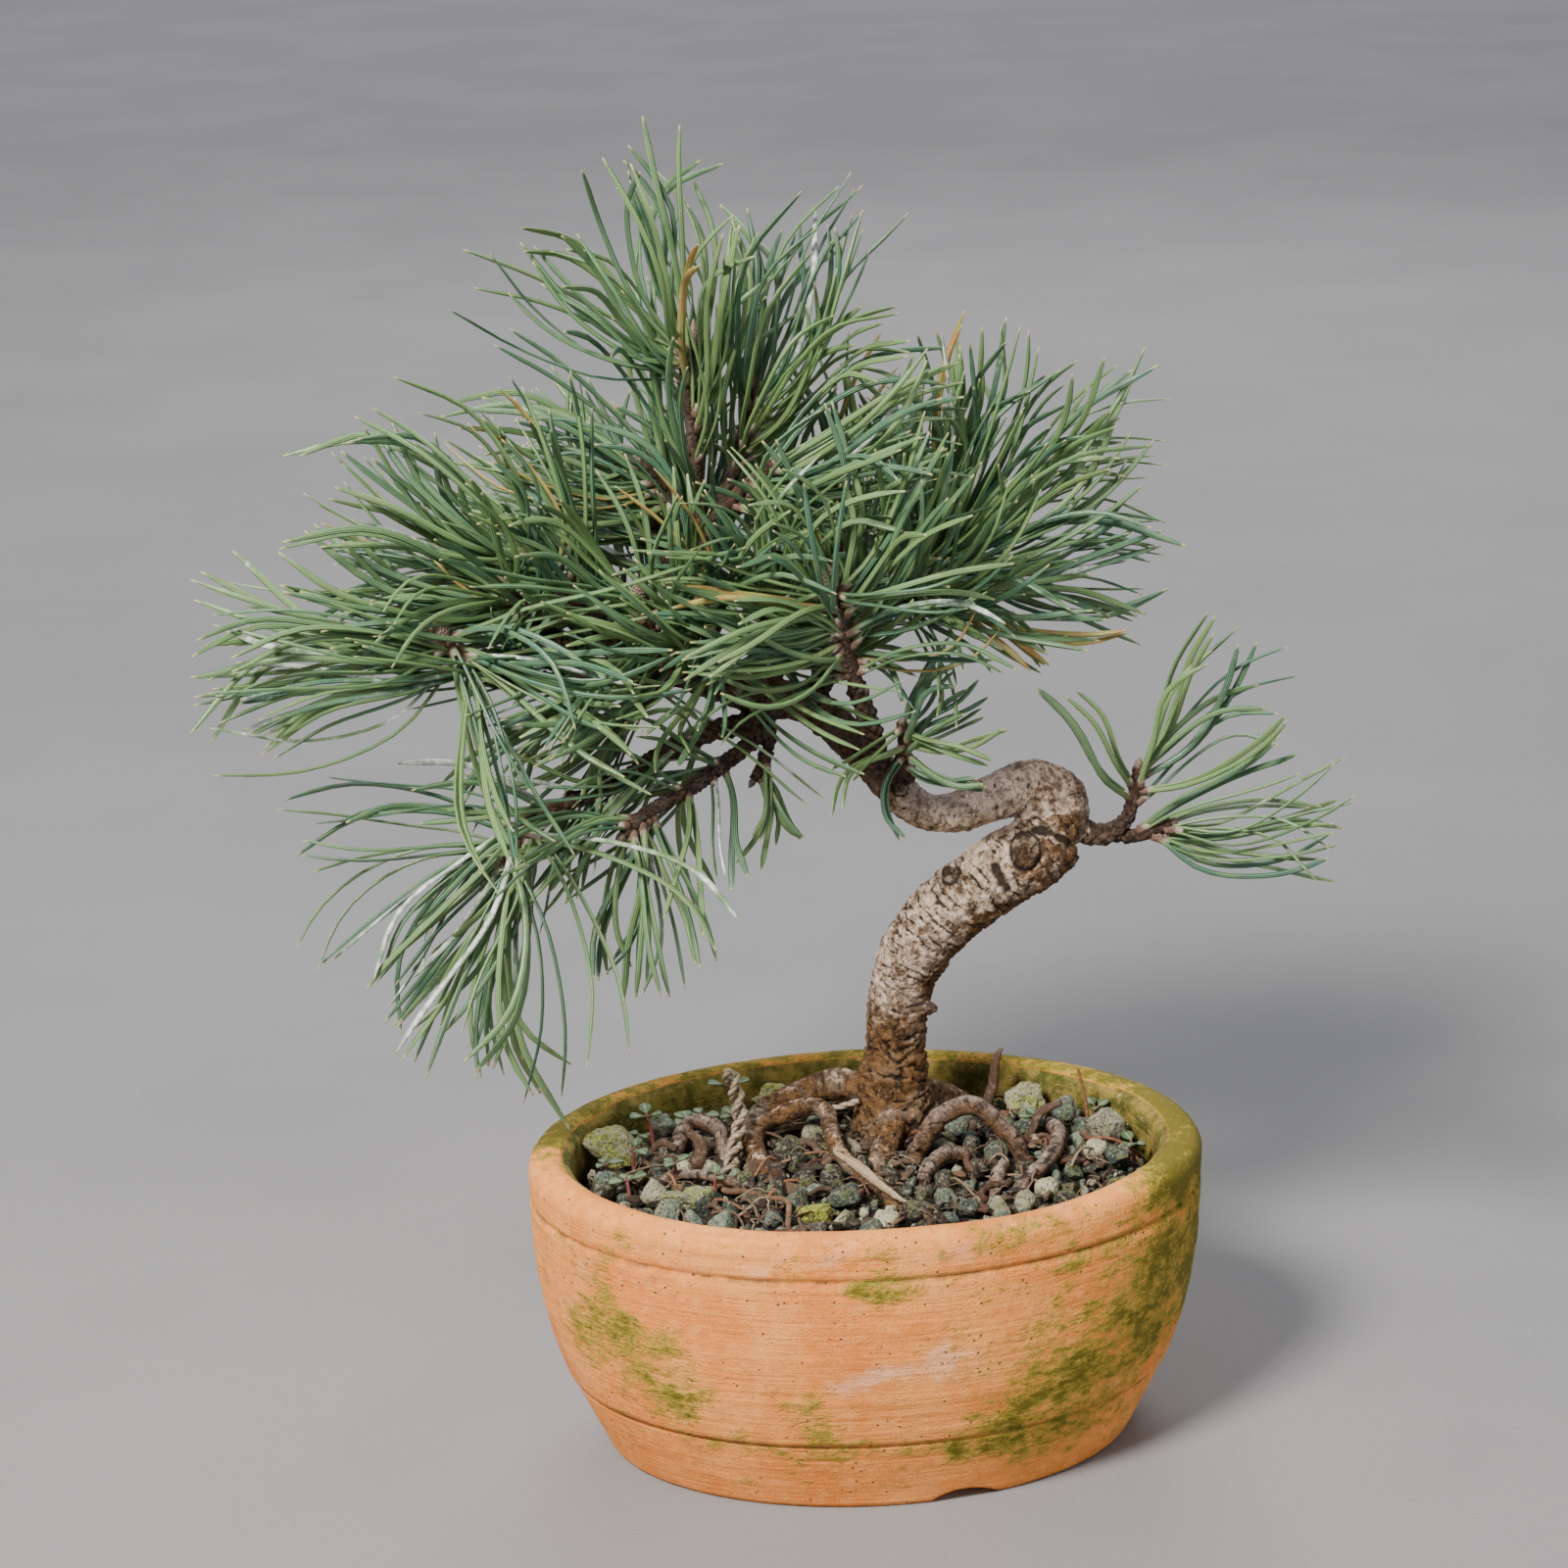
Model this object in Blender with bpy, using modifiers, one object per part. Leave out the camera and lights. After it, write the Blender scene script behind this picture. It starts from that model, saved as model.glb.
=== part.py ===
"""A small pine bonsai in an oval terracotta pot.

Every length below is in millimetres and every point is (x, y, z), with the origin at the middle of the
pot's flat base, +X along the pot's long axis, +Y towards the back and +Z up. The finished meshes are
scaled to metres.
"""

import math
import random

import bmesh
import bpy
import numpy as np
from mathutils import Matrix, Vector

MM = 0.001
GAP = 0.3  # between pieces that touch on the real object
UP = Vector((0, 0, 1))

# Pot: an oval bowl, thrown and then squeezed, with two incised lines and a rolled lip.
POT_LIP_HALF = (85.0, 62.5)  # half length and half width at the lip
POT_SQUEEZE = 0.87  # how much the half width changes with each mm of half length
CROWN_SHAPE = 0.62  # half width over half length of the soil's inner rings
POT_SIDES = 36
POT_OUTSIDE = [  # (half length, height), from the base up and over the lip
    (66.2, 0.0), (67.6, 1.2), (71.6, 9.0), (76.6, 20.4), (76.4, 21.5), (78.0, 22.6), (81.6, 34.0),
    (83.9, 46.0), (85.0, 58.0), (85.2, 67.6), (84.5, 68.6), (85.3, 69.6), (85.5, 75.0), (83.6, 78.4),
    (80.3, 79.4),
]
POT_INSIDE = [  # from the lip down to the floor
    (76.6, 78.6), (74.6, 76.0), (74.2, 66.0), (73.4, 48.0), (69.5, 28.0), (61.0, 12.0), (56.0, 9.0),
]
DRAIN_X = 30.0  # each drain hole's distance from the middle
DRAIN_RADIUS = 7.0
NOTCH_WIDTH = 17.0
NOTCH_HEIGHT = 3.5
NOTCH_MOUTH = (17.6, -50.0)  # where a drain channel leaves the base, in front
SCREEN_SIDE = 22.0
SCREEN_CELLS = 7
SCREEN_THICKNESS = 1.0

# Soil: a shallow mound that stops below the lip.
SOIL_RINGS = [  # (half length, height), from the floor up and in to the crown
    (54.0, 11.2), (59.8, 12.8), (68.4, 28.3), (72.4, 48.0), (73.3, 66.4), (66.0, 68.4), (50.0, 70.0),
    (28.0, 71.0), (10.0, 71.6),
]
SOIL_SIDES = 28
SOCKET_GAP = 0.4  # round each thing that stands in the soil

# The tree. Each point is (x, y, z, radius).
TRUNK_SIDES = 12
TRUNK_STEP = 7.0
TRUNK = [
    (9.0, 22.0, 46.0, 6.0), (9.6, 21.5, 58.0, 10.5), (10.3, 21.0, 68.0, 12.0), (10.2, 20.5, 76.0, 10.6),
    (9.8, 20.0, 85.0, 8.6), (10.8, 20.0, 95.0, 7.2), (11.2, 20.0, 106.0, 7.4), (14.0, 20.0, 117.5, 8.3),
    (19.5, 19.0, 127.0, 9.0), (27.0, 18.0, 134.5, 9.2), (37.5, 17.0, 142.3, 9.4), (46.5, 18.0, 147.0, 9.2),
    (52.5, 20.5, 151.0, 8.6),
]
LIMB_SIDES = 10
LIMB_STEP = 6.0
LIMB = [
    (47.0, 19.5, 149.0, 7.5), (52.5, 22.5, 154.5, 8.0), (53.0, 24.5, 159.0, 7.6), (47.6, 24.5, 162.5, 6.8),
    (41.5, 23.5, 161.6, 6.4), (33.0, 21.5, 159.5, 5.7), (25.6, 20.0, 157.8, 4.9), (18.1, 20.0, 159.0, 4.7),
    (11.4, 21.0, 165.2, 4.9), (3.8, 22.0, 174.4, 4.7), (-3.5, 22.0, 182.4, 4.7), (-10.7, 22.0, 188.0, 4.9),
    (-20.6, 21.0, 190.5, 5.1), (-30.3, 20.0, 194.0, 4.5), (-40.1, 18.0, 197.7, 3.4),
]
BRANCH_SIDES = 6
BRANCH_STEP = 9.0
BRANCHES = {
    "left": [(-36, 19, 196, 2.6), (-46, 17, 199, 2.8), (-55, 14, 199.5, 2.5), (-65, 8, 200.5, 2.3),
             (-79, 2, 203, 2.0), (-88, -3, 207, 1.8)],
    "lower_left": [(-20, 20, 189, 2.2), (-24, 16, 186, 2.6), (-32, 12, 185.5, 2.4), (-41, 8, 184, 2.3),
                   (-51, 4, 180, 2.1), (-57, 2, 177, 2.0), (-65, 0, 175, 2.0), (-75.6, -2.9, 171.2, 1.8)],
    "lower_twig": [(-21, 17, 187, 1.8), (-25, 14, 181, 2.0), (-30, 11, 178, 1.8), (-38, 5, 174.5, 1.7),
                   (-47, -1, 171.6, 1.5)],
    "hanging_twig": [(-20, 18, 187, 1.4), (-20, 14.5, 182, 1.5), (-21, 12.8, 178.8, 1.2)],
    "apex": [(-30, 20, 192, 2.6), (-33, 23, 204, 2.5), (-35, 24, 220, 2.3), (-35, 24, 238, 2.1)],
    "upper_right": [(-34.5, 24, 226, 1.5), (-30, 27, 238, 1.7), (-26.5, 29, 245.3, 1.6)],
    "crown_right": [(-34.8, 24, 229, 1.4), (-32, 22, 235, 1.6), (-30.4, 20.3, 237.6, 1.5)],
    "crown_left": [(-35, 24, 229, 1.4), (-38.5, 25, 235.5, 1.5)],
    "inner_left": [(-34, 24, 207, 1.4), (-37.5, 26.7, 213.6, 1.5)],
    "inner_back": [(-33, 23, 203, 1.4), (-34.6, 31, 213, 1.6), (-35.8, 35.5, 216.5, 1.5)],
    "front_low": [(-31, 19, 195, 1.8), (-31.4, 13.4, 199.2, 1.7), (-32, 10.6, 200.8, 1.5)],
    "centre": [(-18, 21, 190, 1.8), (-18, 16, 196.6, 1.7), (-18, 13.4, 198.8, 1.5)],
    "right": [(-8, 22, 186.5, 2.4), (-5.5, 26, 192, 2.5), (4, 32, 200.5, 2.3), (12, 34.6, 207.5, 2.1),
              (16.7, 35.9, 211.7, 1.9)],
    "right_front": [(9.5, 34, 205.5, 1.4), (11.7, 30.2, 208.2, 1.5)],
    "back_right": [(-6, 26, 191.5, 1.8), (-6.2, 34, 201, 1.7), (-5.3, 37.6, 205.6, 1.5)],
    "back_middle": [(-20, 21, 191, 1.8), (-21.6, 30, 197.6, 1.7), (-20.3, 35.6, 201.8, 1.5)],
    "left_front": [(-41, 18, 198, 1.6), (-43.4, 12.4, 200.6, 1.6), (-44, 10.4, 201.8, 1.5)],
    "left_back": [(-47, 17, 199, 1.6), (-50, 25, 200.6, 1.6), (-52.7, 31.4, 203.8, 1.5)],
    "left_middle": [(-53.6, 14.5, 199.5, 1.4), (-57, 19, 203.5, 1.5)],
    "left_upper": [(-41, 18, 198, 1.9), (-48, 16, 203, 2.0), (-56, 13, 209, 1.9), (-61.6, 12.1, 214.6, 1.7)],
    "left_outer": [(-62, 10, 200, 1.5), (-67.4, 9, 206.4, 1.7), (-71.7, 8.2, 211.8, 1.5)],
    "under_left": [(-46, 17, 198, 1.4), (-49, 14, 194.8, 1.4)],
    "front_shoot": [(4, 22, 174, 2.6), (7, 15.5, 172.5, 2.8), (6.6, 9, 175.5, 2.6), (4, 2.5, 186, 2.4),
                    (0, -4, 200, 2.2)],
    "trunk_front": [(9.5, 20, 167.5, 1.6), (12, 14, 171.4, 1.6), (12, 10.4, 174.6, 1.4)],
    "elbow": [(54, 22, 152, 3.2), (61, 22, 150, 2.6), (66, 20, 150, 2.4), (69, 18.7, 153, 1.9),
              (70.2, 18.2, 154.7, 1.7)],
    "elbow_fork": [(65, 20.4, 150, 1.6), (69.9, 18.8, 149.6, 1.5)],
    "dead_stub": [(13, 18, 106, 2.2), (20.5, 15, 107.5, 1.2)],
    "old_stub": [(12, 20, 165, 2.6), (15.6, 17.4, 171.6, 1.8)],
    "root_left": [(4, 20, 84, 3.4), (-5, 24, 84.5, 4.0), (-13, 26, 81.5, 3.6), (-21, 26, 78.5, 3.2),
                  (-26.5, 20, 76, 3.0), (-27.5, 11, 74, 2.8), (-26, 2, 71.5, 2.6), (-21, -6, 67.5, 2.4)],
    "root_right": [(14, 22, 82, 4.4), (22, 28, 78, 3.8), (29, 33, 73, 3.2), (33, 36, 67, 2.8)],
    "root_front": [(9, 14, 80, 4.0), (6.5, 7, 75, 3.4), (3, 0, 70.4, 2.8), (0, -5, 65, 2.4)],
    "root_back": [(8, 28, 80, 4.4), (4, 38, 73, 3.4), (0, 44, 66, 2.8)],
    "root_arch_front": [(-26.5, 18, 75.8, 2.0), (-21.5, 15.5, 79.5, 2.2), (-16, 14.5, 82, 2.2),
                        (-11, 13.5, 83, 2.1), (-8.4, 10.5, 82.2, 2.0), (-8, 3, 79.5, 2.1),
                        (-6.5, -5, 77, 2.1), (-2, -13, 75, 2.0), (3, -19, 72.6, 2.0),
                        (6.5, -24.5, 67.5, 1.8)],
}

# Exposed roots that rise from the soil and dive back in.
ROOTS = {
    "root_arch_right": [(11.5, 0.5, 70.0, 2.2), (16.0, 2.2, 77.5, 2.5), (20.5, 3.6, 83.0, 2.6),
                        (27.0, 4.6, 84.6, 2.5), (33.0, 4.4, 81.0, 2.5), (37.6, 2.4, 75.6, 2.3),
                        (41.5, -0.5, 68.4, 2.1)],
    "root_crossing": [(51.0, 22.0, 68.0, 1.8), (50.6, 16.0, 73.2, 2.0), (51.0, 5.0, 74.2, 2.1),
                      (45.0, -9.0, 74.0, 2.0), (37.0, -20.0, 71.8, 2.0), (33.0, -25.5, 67.6, 1.8)],
    "root_fork": [(35.0, -5.6, 69.4, 1.8), (34.0, -10.0, 73.6, 1.9), (31.5, -17.0, 73.2, 1.9),
                  (28.0, -24.5, 68.4, 1.7)],
    "root_low": [(12.0, -13.5, 68.6, 1.8), (15.0, -9.0, 73.4, 2.0), (20.0, -3.5, 74.6, 2.0),
                 (25.5, -2.0, 73.0, 1.9), (29.0, -0.6, 68.6, 1.8)],
    "root_loop_left": [(-48.0, 8.0, 68.0, 1.9), (-47.0, 15.0, 73.6, 2.1), (-43.0, 22.0, 76.4, 2.2),
                       (-37.0, 21.0, 75.6, 2.1), (-34.6, 14.0, 73.6, 2.0), (-35.0, 7.6, 68.4, 1.8)],
    "root_thin_left": [(-55.0, -6.0, 68.2, 1.3), (-50.0, -2.0, 72.6, 1.4), (-42.0, -5.0, 73.8, 1.4),
                       (-34.0, -11.0, 72.8, 1.4), (-29.0, -17.0, 68.4, 1.3)],
}
ROOT_SIDES = 6
ROOT_STEP = 5.0

# Stones: (x, y, z of the middle, half sizes in x, y, z, turn about z in degrees).
STONES = {
    "stone_pale_left": (-62.5, 17.0, 73.4, 7.2, 6.0, 5.6, 20),
    "stone_mossy_back": (-19.0, 44.0, 72.0, 7.0, 5.0, 4.6, 10),
    "stone_grey_right": (63.4, 9.0, 73.2, 7.4, 5.2, 4.8, -15),
    "stone_dark_right": (64.5, -4.6, 72.0, 4.6, 4.4, 3.6, 30),
    "stone_yellow_right": (45.5, 32.5, 73.4, 5.4, 4.6, 4.4, 0),
    "stone_green_right": (55.0, 25.0, 72.4, 3.8, 3.6, 3.8, 40),
    "stone_front_left": (-45.5, -14.5, 71.6, 6.2, 4.4, 3.4, -10),
    "stone_mossy_front": (-15.5, -28.0, 71.6, 6.8, 4.6, 3.4, 5),
    "stone_small_front": (17.5, -25.0, 71.6, 3.8, 3.2, 2.8, 25),
    "stone_back_left": (-49.0, 29.0, 72.0, 5.2, 4.4, 3.8, 35),
    "stone_teal_back": (21.0, 44.0, 72.4, 5.0, 4.0, 3.8, -20),
    "stone_round_left": (-51.0, -24.0, 71.6, 4.2, 3.8, 3.4, 15),
}

# The tie: one length of twine doubled back on itself and twisted, and a strand that holds the left root.
TIE_RADIUS = 0.85
TIE_TURNS = 3.5
TIE_AXIS = [(-35.5, -4.5, 67.6), (-34.5, -1.5, 72.0), (-32.8, 4.5, 76.2), (-30.8, 10.5, 80.5),
            (-31.0, 13.5, 86.0), (-32.4, 14.5, 92.0)]
TIE_SPREAD = 1.3  # from the twist's middle line to each strand's
TIE_STRAND = [(0.4, 15.5, 83.0), (-4.5, 16.5, 81.2), (-9.0, 18.5, 79.6), (-14.0, 20.5, 77.8),
              (-18.5, 20.5, 75.6), (-21.5, 19.0, 72.4), (-22.0, 17.0, 67.6)]
TIE_BURIED = 4  # how many of the strand's points are left out before it enters the soil

# Seedlings that have sown themselves: stem points, then (leaf direction, length) for each leaf.
SEEDLINGS = {
    "seedling_back": ([(-31.5, 33.5, 69.6), (-31.0, 34.0, 76.0), (-32.0, 34.6, 81.0)],
                      [((-0.8, -0.5, 0.5), 6.5), ((0.9, -0.3, 0.5), 6.0), ((0.1, 0.9, 0.4), 5.5)]),
    "seedling_left": ([(-52.5, 20.0, 68.6), (-53.0, 20.6, 75.6), (-54.0, 21.0, 79.5)],
                      [((-0.8, -0.6, 0.4), 5.5), ((0.7, -0.6, 0.5), 5.0), ((-0.1, 0.9, 0.5), 5.0)]),
}
STALK_RADIUS = 0.6  # of the seedlings' stems and the dry stalk
LEAF_THICKNESS = 0.5  # half of it
DRY_STALK = [(60.5, 19.0, 68.0), (59.6, 20.4, 78.0), (58.0, 22.0, 86.0)]
FALLEN_NEEDLE = [(-28.5, -24.0, 71.2), (-25.0, -17.5, 73.4), (-21.0, -12.5, 74.0), (-15.0, -9.5, 72.3)]

# Needles. Each tuft is a shoot (its middle line and radius) and sprays of needles along it:
# (direction, spread in degrees, how many, length).
NEEDLE_RADIUS = 0.75
SHOOT_RADIUS = 1.5
SHOOT_SIDES = 6
SHOOT_STEP = 4.0
NEEDLE_CLEARANCE = 0.5
NEEDLE_ARCH = 36  # degrees that a needle's end may turn from its middle
TUFTS = {
    "apex": (
        [(-35, 24, 238.4), (-36, 22, 256), (-37, 20, 270), (-36, 18, 280)],
        [((-0.75, -0.1, 0.62), 12, 5, 60), ((-0.4, -0.3, 0.9), 14, 6, 60), ((-0.05, -0.25, 1), 16, 8, 60),
         ((0.25, 0.1, 1), 14, 6, 60), ((-0.2, 0.5, 0.85), 16, 5, 58)],
    ),
    "upper_right": (
        [(-26.3, 29.2, 245.7), (-23, 30, 256), (-21, 30, 267)],
        [((0.3, 0.0, 1), 12, 10, 62), ((0.6, -0.2, 0.8), 12, 4, 58), ((0.1, 0.5, 0.9), 14, 5, 58)],
    ),
    "crown_right": (
        [(-30.1, 20.1, 237.9), (-24, 15, 246), (-17, 12, 252)],
        [((0.85, -0.1, 0.5), 12, 8, 60), ((0.95, 0.1, 0.25), 12, 6, 60), ((0.7, -0.5, 0.3), 14, 5, 56)],
    ),
    "crown_left": (
        [(-38.8, 25.1, 236), (-43.5, 26, 245), (-49.5, 26, 251)],
        [((-0.93, 0, 0.3), 14, 8, 58), ((-0.8, 0.1, 0.55), 12, 5, 58), ((-0.85, 0.4, 0.2), 14, 4, 56)],
    ),
    "left_upper": (
        [(-61.9, 12, 215), (-70, 11.5, 225), (-79, 11, 238)],
        [((-0.6, -0.1, 0.8), 12, 6, 64), ((-0.85, -0.1, 0.5), 12, 8, 64), ((-0.97, -0.1, 0.1), 12, 5, 62),
         ((-0.3, -0.1, 0.95), 12, 5, 60), ((-0.6, 0.5, 0.5), 16, 4, 56)],
    ),
    "left_outer": (
        [(-72, 8.1, 212.1), (-78, 5, 219), (-84, 2, 227)],
        [((-0.9, -0.2, 0.35), 14, 6, 58), ((-0.75, -0.45, 0.1), 16, 5, 56),
         ((-0.3, -0.4, 0.8), 16, 5, 54), ((-0.8, 0.4, 0.1), 14, 2, 54)],
    ),
    "far_left": (
        [(-88.4, -3.2, 207.2), (-94, -5.5, 210.5), (-99, -8, 218)],
        [((-0.93, -0.1, 0.3), 12, 8, 66), ((-0.98, -0.2, -0.05), 10, 8, 66),
         ((-0.85, -0.2, -0.4), 12, 6, 66), ((-0.6, -0.3, -0.7), 12, 6, 68),
         ((0.15, -0.5, -0.8), 14, 6, 60), ((0.8, -0.5, -0.35), 16, 8, 58),
         ((0.95, -0.4, 0.05), 12, 6, 60), ((-0.5, 0.1, 0.7), 15, 4, 54)],
    ),
    "lower_left": (
        [(-76, -3, 171), (-82, -4.4, 168), (-88, -6, 162)],
        [((-0.97, -0.1, 0.05), 8, 5, 56), ((-0.8, -0.2, -0.5), 12, 6, 58),
         ((-0.5, -0.2, -0.85), 12, 8, 64), ((-0.12, -0.2, -1), 10, 9, 70),
         ((0.3, -0.15, -0.95), 12, 8, 66), ((0.75, -0.2, -0.65), 12, 6, 70),
         ((0.88, -0.2, -0.4), 8, 5, 68), ((0, 0.5, -0.85), 16, 4, 56)],
    ),
    "under_twig": (
        [(-47.4, -1.3, 171.4), (-53, -5, 169.5), (-58, -8, 166)],
        [((-0.3, -0.2, -0.95), 14, 5, 45), ((0.1, -0.2, -1), 14, 4, 45), ((-0.85, -0.3, -0.35), 12, 3, 45)],
    ),
    "hanging": (
        [(-21.2, 12.6, 178.3), (-22.4, 12, 175), (-24.5, 11.2, 172)],
        [((-0.35, -0.3, -0.9), 10, 2, 24), ((0.35, -0.3, -0.85), 10, 2, 22)],
    ),
    "under_left": (
        [(-49.4, 13.6, 194.4), (-55, 10, 191.5), (-60, 6, 189)],
        [((-0.85, -0.3, -0.3), 12, 4, 54), ((-0.5, -0.5, -0.7), 12, 4, 50)],
    ),
    "front": (
        [(-0.1, -4.4, 200.5), (-3, -8, 213), (-6, -12, 227)],
        [((-0.85, -0.3, 0.35), 12, 8, 50), ((-0.85, -0.35, 0), 12, 6, 46),
         ((-0.3, -0.3, 0.85), 14, 6, 54), ((0.4, -0.2, 0.85), 14, 6, 54), ((0.75, -0.3, 0.2), 14, 5, 44)],
    ),
    "right": (
        [(17, 36, 212), (25, 38, 217), (30, 40, 221), (34, 42, 228)],
        [((-0.3, -0.1, 0.95), 12, 6, 60), ((0.05, -0.1, 1), 12, 9, 62), ((0.45, -0.1, 0.9), 12, 8, 60),
         ((0.75, 0, 0.65), 12, 8, 64), ((0.95, -0.1, 0.25), 12, 8, 62), ((0.98, -0.1, -0.08), 8, 5, 62),
         ((0.3, 0.6, 0.7), 14, 5, 56), ((0.6, -0.4, -0.4), 12, 4, 44)],
    ),
    "right_front": (
        [(11.9, 29.8, 208.6), (15, 25, 214), (17, 20, 221)],
        [((-0.2, -0.4, 0.9), 14, 6, 56), ((0.5, -0.5, 0.7), 14, 6, 56), ((0.85, -0.4, 0.1), 14, 5, 52),
         ((0.2, -0.7, -0.3), 14, 4, 40)],
    ),
    "trunk_front": (
        [(12, 10, 174.9), (12.6, 7, 180), (12, 4.5, 187)],
        [((0.8, -0.2, 0.4), 12, 3, 26), ((0.4, -0.3, 0.85), 12, 3, 28), ((-0.7, -0.4, -0.2), 12, 2, 28),
         ((-0.2, -0.5, -0.9), 10, 1, 28), ((0.85, -0.3, -0.1), 12, 2, 26)],
    ),
    "elbow": (
        [(70.4, 18, 155.1), (72, 18, 161), (73, 18, 168)],
        [((-0.4, -0.1, 0.9), 10, 2, 46), ((0.45, -0.1, 0.9), 12, 4, 52), ((0.7, -0.1, 0.7), 12, 4, 50)],
    ),
    "elbow_fork": (
        [(70.4, 18.6, 149.7), (75, 16.5, 151), (81, 15, 154)],
        [((0.85, -0.1, 0.5), 10, 3, 50), ((0.97, -0.1, 0.22), 7, 4, 60), ((0.98, -0.2, 0.1), 8, 4, 54)],
    ),
    "centre": (
        [(-18, 12.7, 199.4), (-18, 8, 211), (-19, 4, 223)],
        [((-0.3, -0.4, 0.9), 14, 6, 56), ((0.3, -0.4, 0.9), 14, 6, 56), ((-0.8, -0.4, 0.4), 14, 5, 52),
         ((0.8, -0.4, 0.4), 14, 5, 52), ((0.6, -0.5, 0), 14, 4, 46)],
    ),
    "back_right": (
        [(-5.1, 37.9, 206), (-1, 42, 214), (2, 46, 223)],
        [((0.1, 0.2, 1), 16, 8, 58), ((-0.5, 0.3, 0.8), 14, 5, 58), ((0.6, 0.4, 0.7), 14, 5, 56),
         ((0.2, 0.9, 0.4), 14, 5, 54), ((-0.1, 0.9, 0.0), 14, 2, 50)],
    ),
    "left_front": (
        [(-44.2, 10, 202.2), (-48, 4, 212), (-51, -2, 224)],
        [((-0.6, -0.3, 0.75), 14, 5, 56), ((-0.9, -0.4, 0.1), 14, 6, 54), ((0.0, -0.4, 0.9), 14, 5, 56),
         ((-0.7, -0.6, -0.25), 14, 5, 50), ((0.5, -0.6, 0.4), 14, 4, 48)],
    ),
    "inner_left": (
        [(-37.8, 26.9, 214), (-42, 29, 222), (-47, 30, 233)],
        [((-0.4, 0.1, 0.9), 14, 6, 58), ((-0.85, 0.2, 0.45), 14, 5, 56), ((0.2, 0.1, 1), 14, 4, 56),
         ((-0.5, 0.7, 0.5), 14, 4, 54)],
    ),
    "left_middle": (
        [(-57.4, 19.5, 204), (-62, 22.5, 210), (-67, 25, 218)],
        [((-0.85, 0.2, 0.45), 14, 6, 56), ((-0.5, 0.1, 0.85), 14, 5, 56), ((-0.8, 0.5, 0.1), 14, 5, 54)],
    ),
    "front_low": (
        [(-32.2, 10.1, 201), (-35, 3, 209), (-37, -4, 220)],
        [((0, -0.5, 0.85), 14, 5, 54), ((-0.7, -0.6, 0.3), 14, 5, 52), ((0.7, -0.6, 0.3), 14, 5, 52),
         ((-0.3, -0.8, -0.3), 14, 4, 44)],
    ),
    "inner_back": (
        [(-36, 36, 216.8), (-38, 45, 224), (-39, 55, 234)],
        [((0, 0.5, 0.85), 16, 6, 58), ((-0.6, 0.6, 0.5), 14, 5, 56), ((0.6, 0.6, 0.5), 14, 5, 56),
         ((0, 0.95, 0), 14, 4, 52)],
    ),
    "back_middle": (
        [(-20, 36.1, 202.2), (-16, 46, 209), (-12, 58, 221)],
        [((0.5, 0.6, 0.6), 14, 6, 56), ((0.1, 0.6, 0.8), 14, 5, 56), ((0.8, 0.5, 0.2), 14, 5, 54),
         ((-0.2, 0.9, 0.3), 14, 4, 52)],
    ),
    "left_back": (
        [(-53, 31.9, 204.1), (-57, 42, 211), (-60, 53, 221)],
        [((-0.6, 0.5, 0.6), 14, 6, 56), ((-0.85, 0.4, 0.1), 14, 5, 56), ((-0.1, 0.7, 0.7), 14, 5, 56),
         ((-0.2, 0.9, 0), 14, 4, 52)],
    ),
}

# Base colour, roughness.
LOOKS = {
    "terracotta": ((0.62, 0.29, 0.15), 0.85),
    "soil": ((0.07, 0.055, 0.045), 0.95),
    "screen": ((0.03, 0.03, 0.03), 0.6),
    "bark": ((0.27, 0.19, 0.13), 0.9),
    "root": ((0.30, 0.22, 0.16), 0.9),
    "needles": ((0.10, 0.19, 0.09), 0.5),
    "stone": ((0.34, 0.37, 0.28), 0.9),
    "mossy_stone": ((0.33, 0.40, 0.12), 0.95),
    "twine": ((0.50, 0.38, 0.26), 0.9),
    "seedling": ((0.16, 0.25, 0.10), 0.6),
    "dry_stalk": ((0.22, 0.10, 0.07), 0.85),
}


def clear_scene():
    for thing in list(bpy.data.objects):
        bpy.data.objects.remove(thing, do_unlink=True)


def collection(name, hidden=False):
    made = bpy.data.collections.new(name)
    bpy.context.scene.collection.children.link(made)
    made.hide_render = hidden
    return made


def material(name):
    found = bpy.data.materials.get(name)
    if found:
        return found
    colour, roughness = LOOKS[name]
    made = bpy.data.materials.new(name)
    made.use_nodes = True
    shader = made.node_tree.nodes["Principled BSDF"]
    shader.inputs["Base Color"].default_value = (*colour, 1)
    shader.inputs["Roughness"].default_value = roughness
    shader.inputs["Metallic"].default_value = 0
    made.diffuse_color = (*colour, 1)
    return made


def finish(mesh, name, look, target):
    """The finished mesh, in metres, as an object with its material."""
    bmesh.ops.recalc_face_normals(mesh, faces=mesh.faces)
    bmesh.ops.scale(mesh, vec=(MM, MM, MM), verts=mesh.verts)
    data = bpy.data.meshes.new(name)
    mesh.to_mesh(data)
    mesh.free()
    made = bpy.data.objects.new(name, data)
    target.objects.link(made)
    data.materials.append(material(look))
    return made


def helper(mesh, name):
    """A cutter, or a piece that is joined to another: it isn't rendered."""
    made = finish(mesh, name, "soil", helpers)
    made.hide_render = True
    made.display_type = "WIRE"
    return made


def boolean(target, other, operation):
    change = target.modifiers.new(other.name, "BOOLEAN")
    change.operation = operation
    change.solver = "EXACT"
    change.object = other
    return change


# ---- curves and tubes


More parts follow.
